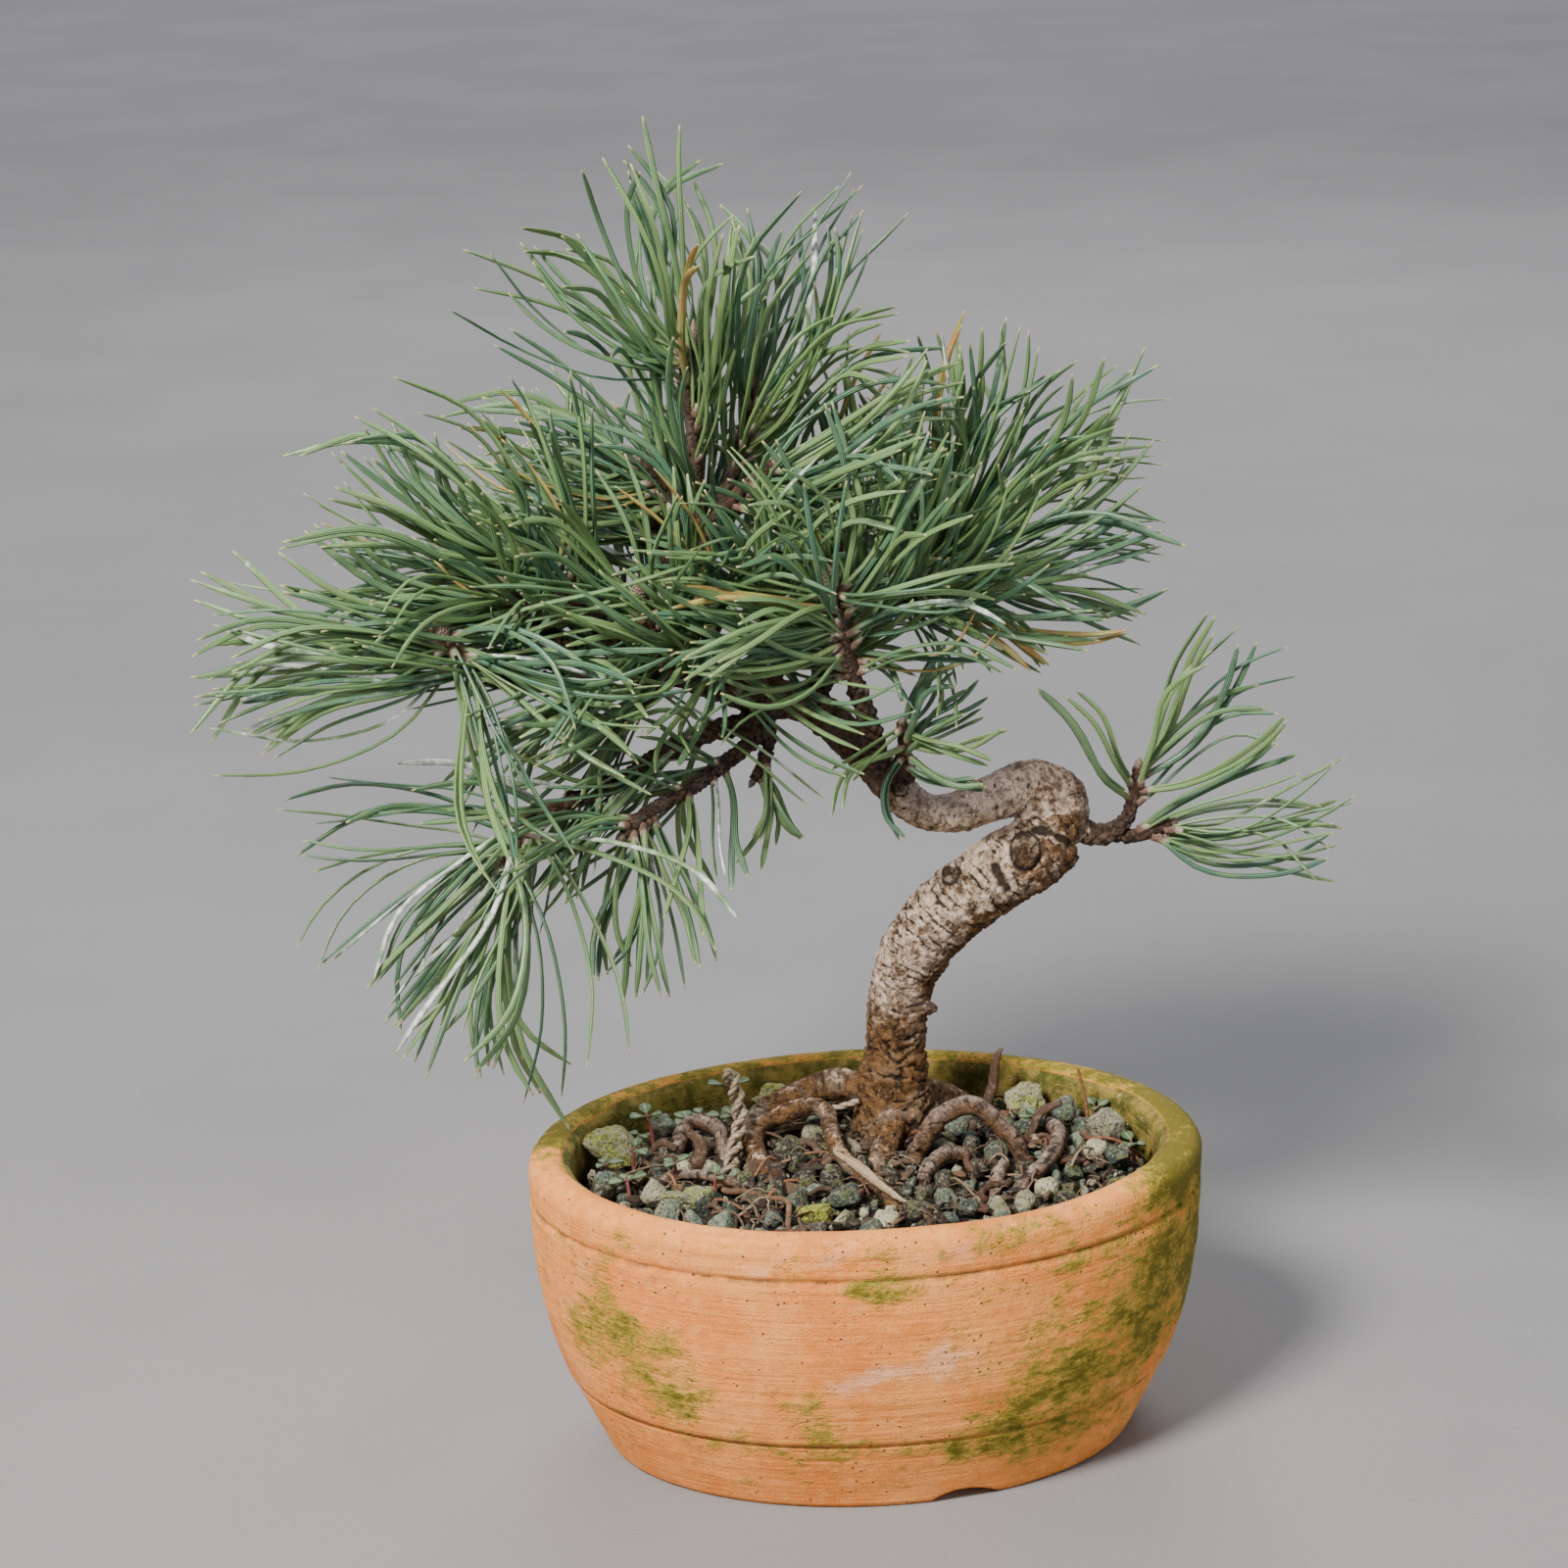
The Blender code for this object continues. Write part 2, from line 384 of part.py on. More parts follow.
def smooth(points, step):
    """Points about `step` apart on a Catmull-Rom curve; any fourth number, a radius, is carried along."""
    rows = np.array(points, float)
    rows = np.vstack([2 * rows[0] - rows[1], rows, 2 * rows[-1] - rows[-2]])
    made = [rows[1]]
    for a, b, c, d in zip(rows, rows[1:], rows[2:], rows[3:]):
        steps = max(1, round(float(np.linalg.norm((c - b)[:3])) / step))
        for i in range(1, steps + 1):
            t = i / steps
            made.append(0.5 * (2 * b + (c - a) * t + (2 * a - 5 * b + 4 * c - d) * t ** 2
                               + (3 * b - a - 3 * c + d) * t ** 3))
    return made


def tangents(points):
    ahead = [points[min(i + 1, len(points) - 1)] - points[max(i - 1, 0)] for i in range(len(points))]
    return [way.normalized() for way in ahead]


def across(way, start):
    """The part of start at right angles to way, as a unit vector."""
    side = start - way * start.dot(way)
    return side.normalized() if side.length > 1e-6 else way.orthogonal().normalized()


def sweep(mesh, face, points, radii):
    """Extrudes the face along the points, keeping it square to the path. Returns the last face."""
    corners = [vert.co.copy() for vert in face.verts]
    middle = sum(corners, Vector()) / len(corners)
    start = corners[0] - middle
    for centre, way, radius in zip(points, tangents([middle, *points])[1:], radii):
        face = bmesh.ops.extrude_discrete_faces(mesh, faces=[face])["faces"][0]
        start = across(way, start)
        side = way.cross(start)
        for i, vert in enumerate(face.verts):
            turn = math.tau * i / len(corners)
            vert.co = centre + (start * math.cos(turn) + side * math.sin(turn)) * radius
    return face


def tube(rows, sides, step, grow=0.0):
    """A closed tube along rows of (x, y, z, radius), with `grow` more radius."""
    path = smooth(rows, step)
    points = [Vector(row[:3]) for row in path]
    way = (points[1] - points[0]).normalized()
    turned = way.to_track_quat("Z", "Y").to_matrix().to_4x4()
    mesh = bmesh.new()
    bmesh.ops.create_circle(mesh, cap_ends=True, segments=sides, radius=path[0][3] + grow,
                            matrix=Matrix.Translation(points[0] - way * grow) @ turned)
    face = next(iter(mesh.faces))
    if face.normal.dot(way) < 0:
        bmesh.ops.reverse_faces(mesh, faces=[face])
    points[-1] = points[-1] + (points[-1] - points[-2]).normalized() * grow
    sweep(mesh, face, points[1:], [row[3] + grow for row in path[1:]])
    bmesh.ops.contextual_create(mesh, geom=[edge for edge in mesh.edges if edge.is_boundary])
    return mesh


def plain_tube(points, radius, sides, step, grow=0.0):
    return tube([(*point, radius) for point in points], sides, step, grow)


# ---- the pot and what is in it


def oval(half_length, height):
    half_width = POT_LIP_HALF[1] - (POT_LIP_HALF[0] - half_length) * POT_SQUEEZE
    return half_length, max(half_width, half_length * CROWN_SHAPE), height


def oval_bowl(rings, sides):
    """A solid of stacked oval rings, closed by its first and last ones."""
    mesh = bmesh.new()
    bmesh.ops.create_circle(mesh, cap_ends=True, segments=sides, radius=1)
    face = next(iter(mesh.faces))
    if face.normal.z < 0:
        bmesh.ops.reverse_faces(mesh, faces=[face])
    turns = [math.atan2(vert.co.y, vert.co.x) for vert in face.verts]
    bottom = None
    for half_length, half_width, height in rings:
        if bottom is None:
            bottom = list(face.verts)
        else:
            face = bmesh.ops.extrude_discrete_faces(mesh, faces=[face])["faces"][0]
        for vert, turn in zip(face.verts, turns):
            vert.co = (half_length * math.cos(turn), half_width * math.sin(turn), height)
    bmesh.ops.contextual_create(mesh, geom=[edge for edge in mesh.edges if edge.is_boundary])
    return mesh


def drain_cutters():
    """Two drain holes through the floor, each with a channel under the base that leads to the edge."""
    cutters = []
    for side, name in ((1, "front"), (-1, "back")):
        hole = bmesh.new()
        bmesh.ops.create_cone(hole, cap_ends=True, segments=20, radius1=DRAIN_RADIUS, radius2=DRAIN_RADIUS,
                              depth=40, matrix=Matrix.Translation((side * DRAIN_X, 0, 0)))
        cutters.append(helper(hole, f"drain_{name}"))
        radius = (NOTCH_WIDTH ** 2 / 4 + NOTCH_HEIGHT ** 2) / (2 * NOTCH_HEIGHT)
        mouth = Vector((side * NOTCH_MOUTH[0], side * NOTCH_MOUTH[1], NOTCH_HEIGHT - radius))
        start = Vector((side * DRAIN_X, 0, NOTCH_HEIGHT - radius))
        way = mouth - start
        channel = bmesh.new()
        bmesh.ops.create_cone(channel, cap_ends=True, segments=36, radius1=radius, radius2=radius,
                              depth=way.length,
                              matrix=Matrix.Translation((mouth + start) / 2)
                              @ way.to_track_quat("Z", "Y").to_matrix().to_4x4())
        cutters.append(helper(channel, f"channel_{name}"))
    return cutters


def make_pot():
    rings = [oval(*ring) for ring in POT_OUTSIDE + POT_INSIDE]
    pot = finish(oval_bowl(rings, POT_SIDES), "pot", "terracotta", tree)
    for cutter in drain_cutters():
        boolean(pot, cutter, "DIFFERENCE")


def make_screens():
    """A square of plastic mesh over each drain hole keeps the soil in."""
    for side, name in ((1, "drain_screen_right"), (-1, "drain_screen_left")):
        mesh = bmesh.new()
        bmesh.ops.create_grid(mesh, x_segments=SCREEN_CELLS, y_segments=SCREEN_CELLS, size=SCREEN_SIDE / 2)
        mesh.faces.ensure_lookup_table()
        holes = [mesh.faces[row * SCREEN_CELLS + column]
                 for row in range(1, SCREEN_CELLS, 2) for column in range(1, SCREEN_CELLS, 2)]
        bmesh.ops.delete(mesh, geom=holes, context="FACES")
        floor = POT_INSIDE[-1][1] + GAP
        bmesh.ops.translate(mesh, vec=(side * DRAIN_X, 0, floor), verts=mesh.verts)
        screen = finish(mesh, name, "screen", tree)
        thick = screen.modifiers.new("thickness", "SOLIDIFY")
        thick.thickness = SCREEN_THICKNESS * MM
        thick.offset = 1


def make_soil():
    """The root ball and its soil, hollowed where the tree, roots, stones and tie sit in it."""
    rings = [oval(*ring) for ring in SOIL_RINGS]
    soil = finish(oval_bowl(rings, SOIL_SIDES), "soil", "soil", tree)
    for side, name in ((1, "right"), (-1, "left")):
        room = bmesh.new()
        bmesh.ops.create_cube(room, size=1)
        bmesh.ops.scale(room, vec=(SCREEN_SIDE + 1, SCREEN_SIDE + 1, SCREEN_THICKNESS + 1), verts=room.verts)
        middle = (side * DRAIN_X, 0, SOIL_RINGS[0][1] - SCREEN_THICKNESS / 2)
        bmesh.ops.translate(room, vec=middle, verts=room.verts)
        boolean(soil, helper(room, f"screen_room_{name}"), "DIFFERENCE")
    sockets = {"trunk": (TRUNK[:5], TRUNK_SIDES)}
    for name in ("root_left", "root_right", "root_front", "root_back", "root_arch_front"):
        sockets[name] = (BRANCHES[name], BRANCH_SIDES)
    for name, rows in ROOTS.items():
        sockets[name] = (rows, ROOT_SIDES)
    for name, (rows, sides) in sockets.items():
        boolean(soil, helper(tube(rows, sides, ROOT_STEP, SOCKET_GAP), f"socket_{name}"), "DIFFERENCE")
    for name, numbers in STONES.items():
        boolean(soil, helper(stone(numbers, name, SOCKET_GAP), f"socket_{name}"), "DIFFERENCE")
    for end in (0, 1):
        strand = plain_tube(twist_strand(end)[:4], TIE_RADIUS, 6, 2.5, SOCKET_GAP)
        boolean(soil, helper(strand, f"socket_tie_{end}"), "DIFFERENCE")
    thin = {"strand": (TIE_STRAND[TIE_BURIED:], TIE_RADIUS), "stalk": (DRY_STALK[:2], STALK_RADIUS)}
    for name, (points, _) in SEEDLINGS.items():
        thin[name] = (points[:2], STALK_RADIUS)
    for name, (points, radius) in thin.items():
        socket = plain_tube(points, radius, 6, 4.0, SOCKET_GAP)
        boolean(soil, helper(socket, f"socket_{name}"), "DIFFERENCE")


def stone(numbers, name, grow=0.0):
    """A rough pebble: a ball squeezed to its three half sizes, with each corner moved in or out a little."""
    x, y, z, half_x, half_y, half_z, turn = numbers
    rough = random.Random(name)
    mesh = bmesh.new()
    bmesh.ops.create_icosphere(mesh, subdivisions=1, radius=1)
    for vert in mesh.verts:
        size = 1 + rough.uniform(-0.11, 0.09)
        vert.co = Vector((vert.co.x * (half_x * size + grow), vert.co.y * (half_y * size + grow),
                          vert.co.z * (half_z * size + grow)))
    place = Matrix.Translation((x, y, z)) @ Matrix.Rotation(math.radians(turn), 4, "Z")
    bmesh.ops.transform(mesh, matrix=place, verts=mesh.verts)
    return mesh


def make_stones():
    for name, numbers in STONES.items():
        finish(stone(numbers, name), name, "mossy_stone" if "mossy" in name else "stone", tree)


# ---- the woody parts


def make_trunk():
    """Trunk, limb, branches and root flare grew as one piece."""
    trunk = finish(tube(TRUNK, TRUNK_SIDES, TRUNK_STEP), "trunk", "bark", tree)
    boolean(trunk, helper(tube(LIMB, LIMB_SIDES, LIMB_STEP), "limb"), "UNION")
    for name, rows in BRANCHES.items():
        boolean(trunk, helper(tube(rows, BRANCH_SIDES, BRANCH_STEP), f"branch_{name}"), "UNION")


def make_roots():
    for name, rows in ROOTS.items():
        finish(tube(rows, ROOT_SIDES, ROOT_STEP), name, "root", tree)


def twist_strand(end):
    """One strand of the twist, which winds round the tie's middle line; end picks which of the two."""
    line = [Vector(row) for row in smooth(TIE_AXIS, 2.0)]
    ways = tangents(line)
    start = across(ways[0], Vector((1, 0, 0)))
    made = []
    for i, (centre, way) in enumerate(zip(line, ways)):
        start = across(way, start)
        turn = math.tau * (TIE_TURNS * i / (len(line) - 1) + end / 2)
        made.append(centre + (start * math.cos(turn) + way.cross(start) * math.sin(turn)) * TIE_SPREAD)
    return made


def make_tie():
    up, down = twist_strand(0), twist_strand(1)
    over = (up[-1] + down[-1]) / 2 + (up[-1] - up[-3]).normalized() * 2.4
    finish(plain_tube([*up, over, *reversed(down)], TIE_RADIUS, 6, 2.5), "tie_twist", "twine", tree)
    finish(plain_tube(TIE_STRAND, TIE_RADIUS, 6, 3.0), "tie_strand", "twine", tree)


def make_litter():
    finish(plain_tube(DRY_STALK, STALK_RADIUS, 6, 6.0), "dry_stalk", "dry_stalk", tree)
    finish(plain_tube(FALLEN_NEEDLE, 0.7, 6, 4.0), "fallen_needle", "dry_stalk", tree)


def make_seedlings():
    """Each seedling is a stem with flat oval leaves, drawn out of the sides of its tip."""
    for name, (points, leaves) in SEEDLINGS.items():
        mesh = plain_tube(points, STALK_RADIUS, 6, 3.0)
        tip = Vector(points[-1])
        taken = set()
        for way, length in leaves:
            way = Vector(way).normalized()
            mesh.faces.ensure_lookup_table()
            mesh.normal_update()
            near = [face for face in mesh.faces if face not in taken and len(face.verts) == 4
                    and (face.calc_center_median() - tip).length < 3.5]
            face = max(near, key=lambda choice: choice.normal.dot(way))
            base = face.calc_center_median()
            flat = across(way, UP)
            for share, width in ((0.35, 1.5), (0.7, 1.7), (1.0, 0.5)):
                centre = base + way * length * share
                face = sweep(mesh, face, [centre], [width])
                taken.add(face)
                for vert in face.verts:
                    vert.co -= flat * (vert.co - centre).dot(flat) * (1 - LEAF_THICKNESS / width)
        finish(mesh, name, "seedling", tree)


# ---- needles


def segment_distance(first, last, starts, ends):
    """How near the segment from first to last comes to each segment from starts to ends."""
    u, v, w = last - first, ends - starts, first - starts
    a, b, c = u @ u, v @ u, np.einsum("ij,ij->i", v, v)
    d, e = w @ u, np.einsum("ij,ij->i", v, w)
    spread = np.maximum(a * c - b * b, 1e-9)
    s = np.clip((b * e - c * d) / spread, 0, 1)
    t = np.clip((b * s + e) / np.maximum(c, 1e-9), 0, 1)
    s = np.clip((b * t - d) / max(a, 1e-9), 0, 1)
    between = w + s[:, None] * u - t[:, None] * v
    return np.sqrt(np.einsum("ij,ij->i", between, between))


class Space:
    """The segments placed so far, so that a new needle can keep clear of them."""

    def __init__(self):
        self.rows = []

    def add(self, owner, points, radii, step=0):
        for i, (start, end) in enumerate(zip(points, points[1:])):
            self.rows.append((*start, *end, max(radii[i], radii[i + 1]), owner, i + step))

    def ready(self):
        table = np.array(self.rows)
        self.starts, self.ends, self.radius, self.owner, self.order = (
            table[:, :3], table[:, 3:6], table[:, 6], table[:, 7], table[:, 8])

    def clear_of(self, owner, points, radii):
        """Whether a needle keeps clear. Near its base it may touch its own shoot and that shoot's needles."""
        for i, (start, end) in enumerate(zip(points, points[1:])):
            near = segment_distance(np.array(start), np.array(end), self.starts, self.ends)
            room = near - self.radius - max(radii[i], radii[i + 1])
            own = self.owner == owner
            if (room[~own] < NEEDLE_CLEARANCE).any():
                return False
            if i and (room[own & (self.order > 0)] < 0.1).any():
                return False
        return True


def bent(rng, way, spread):
    """The direction, turned by up to about `spread` degrees."""
    tilt = math.radians(spread) * math.sqrt(rng.random())
    axis = Matrix.Rotation(rng.uniform(0, math.tau), 3, way) @ way.orthogonal().normalized()
    return Matrix.Rotation(tilt, 3, axis) @ way


def needle_path(rng, base, normal, way, length):
    """Four points: the needle leaves near the face's normal and arches over past its own way."""
    arch = bent(rng, way, NEEDLE_ARCH)
    first = (normal * 0.4 + way * 2 - arch).normalized()
    last = (arch - UP * rng.uniform(0.0, 0.2)).normalized()
    points = [base, base + first * length * 0.3]
    points.append(points[-1] + way * length * 0.36)
    points.append(points[-1] + last * length * 0.34)
    return points


def grow_needle(mesh, face, points):
    """Draws one needle out of a face of the shoot, ending in a point."""
    face = sweep(mesh, face, points[1:], [NEEDLE_RADIUS, NEEDLE_RADIUS * 0.95, NEEDLE_RADIUS * 0.3])
    bmesh.ops.pointmerge(mesh, verts=face.verts[:], merge_co=points[-1])


def make_tuft(name, number, space):
    """A shoot and its needles. Each needle is drawn out of the side of the shoot."""
    line, sprays = TUFTS[name]
    rng = random.Random(f"tuft {name}")
    rows = [(*point, SHOOT_RADIUS * (1.0 if i < len(line) - 1 else 0.8)) for i, point in enumerate(line)]
    mesh = tube(rows, SHOOT_SIDES, SHOOT_STEP)
    sides = [face for face in mesh.faces if len(face.verts) == 4]
    free = list(bmesh.ops.triangulate(mesh, faces=sides)["faces"])
    mesh.normal_update()
    base = Vector(line[0])
    free = [face for face in free if (face.calc_center_median() - base).length > 2.5]
    free = [face for face in free if face.calc_area() > 0.6]
    placed = 0
    for way, spread, count, length in sprays:
        way = Vector(way).normalized()
        for _ in range(count):
            for attempt in range(60):
                wish = bent(rng, way, spread + attempt * 0.3)
                size = length * rng.uniform(0.82, 1.06)
                ranked = sorted(free, key=lambda face: -face.normal.dot(wish) - rng.uniform(0, 0.5))
                face = ranked[0]
                if face.normal.dot(wish) < 0.05:
                    continue
                points = needle_path(rng, face.calc_center_median(), face.normal, wish, size)
                radii = [1.0, NEEDLE_RADIUS, NEEDLE_RADIUS, 0.3]
                if not space.clear_of(number, points, radii):
                    continue
                space.add(number, points, radii)
                space.ready()
                free.remove(face)
                grow_needle(mesh, face, points)
                placed += 1
                break
    finish(mesh, f"needles_{name}", "needles", tree)
    return placed


def make_needles():
    space = Space()
    wood = -1
    branches = [(rows, BRANCH_STEP) for rows in BRANCHES.values()]
    for rows, step in [(TRUNK, TRUNK_STEP), (LIMB, LIMB_STEP), *branches]:
        path = smooth(rows, step)
        space.add(wood, [Vector(row[:3]) for row in path], [row[3] for row in path])
    for i, (name, (line, _)) in enumerate(TUFTS.items()):
        path = [Vector(row[:3]) for row in smooth(line, SHOOT_STEP)]
        space.add(i, path, [SHOOT_RADIUS + 0.4] * len(path), step=-100)
    space.ready()
    total = sum(make_tuft(name, i, space) for i, name in enumerate(TUFTS))
    print(f"{total} needles of {sum(spray[2] for _, sprays in TUFTS.values() for spray in sprays)}")


clear_scene()
tree = collection("bonsai_pine")
helpers = collection("helpers", hidden=True)
make_pot()
make_screens()
make_soil()
make_stones()
make_trunk()
make_roots()
make_tie()
make_litter()
make_seedlings()
make_needles()
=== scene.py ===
"""A small pine bonsai in an oval terracotta pot, detailed for close views from every side.

Lengths are in millimetres and points are (x, y, z), with the origin at the middle of the pot's flat base,
+X along the pot's long axis, +Y towards the back and +Z up. Meshes are scaled to metres as they are made.
"""

import math

import bmesh
import bpy
import numpy as np
from mathutils import Matrix, Vector


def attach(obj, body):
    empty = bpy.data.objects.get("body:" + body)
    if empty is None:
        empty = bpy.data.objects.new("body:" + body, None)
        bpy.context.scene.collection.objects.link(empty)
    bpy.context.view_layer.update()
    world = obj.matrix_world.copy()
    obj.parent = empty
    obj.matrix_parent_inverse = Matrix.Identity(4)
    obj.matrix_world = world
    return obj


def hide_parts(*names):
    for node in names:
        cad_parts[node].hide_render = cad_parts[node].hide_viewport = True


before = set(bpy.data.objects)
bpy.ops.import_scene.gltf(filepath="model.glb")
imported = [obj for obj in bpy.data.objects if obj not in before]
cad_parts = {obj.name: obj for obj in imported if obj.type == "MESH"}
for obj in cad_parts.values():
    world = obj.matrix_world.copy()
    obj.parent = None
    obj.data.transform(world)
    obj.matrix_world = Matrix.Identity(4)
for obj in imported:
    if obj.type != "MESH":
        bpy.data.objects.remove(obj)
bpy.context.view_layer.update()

MM = 0.001
UP = np.array((0.0, 0.0, 1.0))

# ---- the pot and the soil

POT_LIP_HALF = (85.0, 62.5)  # half length and half width at the lip
POT_SQUEEZE = 0.87  # how much the half width changes with each mm of half length
POT_SIDES = 288
POT_OUTSIDE = [  # (half length, height), from the base up and over the lip
    (66.2, 0.0), (67.6, 1.2), (71.6, 9.0), (76.3, 19.6), (76.6, 20.4), (76.2, 21.2), (77.9, 22.4),
    (81.6, 34.0), (83.9, 46.0), (85.0, 58.0), (85.3, 67.0), (84.9, 67.9), (84.2, 68.5), (85.0, 69.2),
    (85.4, 70.0), (85.5, 75.0), (84.9, 77.2), (83.4, 78.7), (80.3, 79.5),
]
POT_INSIDE = [  # from the lip down to the floor
    (78.2, 79.3), (76.6, 78.6), (75.4, 77.4), (74.6, 75.6), (74.2, 66.0), (73.4, 48.0), (69.5, 28.0),
    (61.0, 12.0), (56.0, 9.0),
]
LIP_TOP = 79.5
GROOVES = (21.0, 68.4)  # heights of the incised lines
DRAIN_X = 30.0
DRAIN_RADIUS = 7.0
NOTCH_WIDTH = 17.0
NOTCH_HEIGHT = 3.5
NOTCH_MOUTH = (17.6, -50.0)
# Where algae grows on the front of the pot: (x, z) of two ends of a line, how far it reaches, how strong.
ALGAE = [
    (14, 17, 36, 20, 8, 0.98), (34, 26, 60, 44, 20, 0.92), (54, 36, 80, 62, 24, 0.92),
    (80, 46, 88, 79, 16, 1.05), (-9, 67, 8, 67, 3.5, 0.88), (-68, 54, -57, 31, 10, 0.85),
    (-20, 35, -17, 24, 6, 0.72), (-40, 21, -26, 20, 5, 0.45), (-20, 20, 8, 20, 4.5, 0.62),
    (26, 76, 40, 71, 7, 0.5), (-76, 62, -66, 70, 9, 0.42), (40, 66, 70, 66, 8, 0.5),
    (24, 44, 50, 50, 12, 0.42), (-30, 72, 30, 73, 8, 0.25), (-60, 20, 60, 12, 10, 0.30),
    (30, 40, 70, 68, 26, 0.42),
]
# The same for the pale bloom of salt.
BLOOM = [
    (-16, 43, 16, 44, 5, 0.9), (44, 24, 62, 26, 5, 0.5), (-80, 20, -74, 60, 14, 0.5),
    (-60, 74, 40, 76, 5, 0.5),
]
# The soil, from its rim on the wall to the middle, and down the wall: (half length, height).
SOIL_TOP = [(73.3, 66.4), (66.0, 68.4), (50.0, 70.0), (28.0, 71.0), (10.0, 71.6), (0.0, 71.7)]
SOIL_WALL = [(72.4, 48.0), (68.4, 28.3), (59.8, 12.8), (54.0, 11.2)]
SOIL_SIDES = 200
CROWN_SHAPE = 0.62  # the least half width, as a share of the half length
SOIL_SHAPE = 0.70  # the soil's half width, as a share of its half length
GRAVEL_HALF = (72.6, 51.4)  # gravel's middles lie within these half length and half width
GRAVEL_WALL = (73.2, 52.2)  # and no grain reaches past these
LITTER_HALF = (69, 48)  # litter starts within these
LITTER_WALL = (70, 49)  # and is squeezed back to these

# ---- the wood. Each point is (x, y, z, radius).

TRUNK = [
    (9.0, 22.0, 46.0, 6.0), (9.6, 21.5, 58.0, 10.5), (10.3, 21.0, 68.0, 12.0), (10.2, 20.5, 76.0, 10.6),
    (9.8, 20.0, 85.0, 8.6), (10.8, 20.0, 95.0, 7.2), (11.2, 20.0, 106.0, 7.4), (14.0, 20.0, 117.5, 8.3),
    (19.5, 19.0, 127.0, 9.0), (27.0, 18.0, 134.5, 9.2), (37.5, 17.0, 142.3, 9.4), (46.5, 18.0, 147.0, 9.2),
    (52.5, 20.5, 151.0, 8.6),
]
LIMB = [
    (47.0, 19.5, 149.0, 7.5), (52.5, 22.5, 154.5, 8.0), (53.0, 24.5, 159.0, 7.6), (47.6, 24.5, 162.5, 6.8),
    (41.5, 23.5, 161.6, 6.4), (33.0, 21.5, 159.5, 5.7), (25.6, 20.0, 157.8, 4.9), (18.1, 20.0, 159.0, 4.7),
    (11.4, 21.0, 165.2, 4.9), (3.8, 22.0, 174.4, 4.7), (-3.5, 22.0, 182.4, 4.7), (-10.7, 22.0, 188.0, 4.9),
    (-20.6, 21.0, 190.5, 5.1), (-30.3, 20.0, 194.0, 4.5), (-40.1, 18.0, 197.7, 3.4),
]
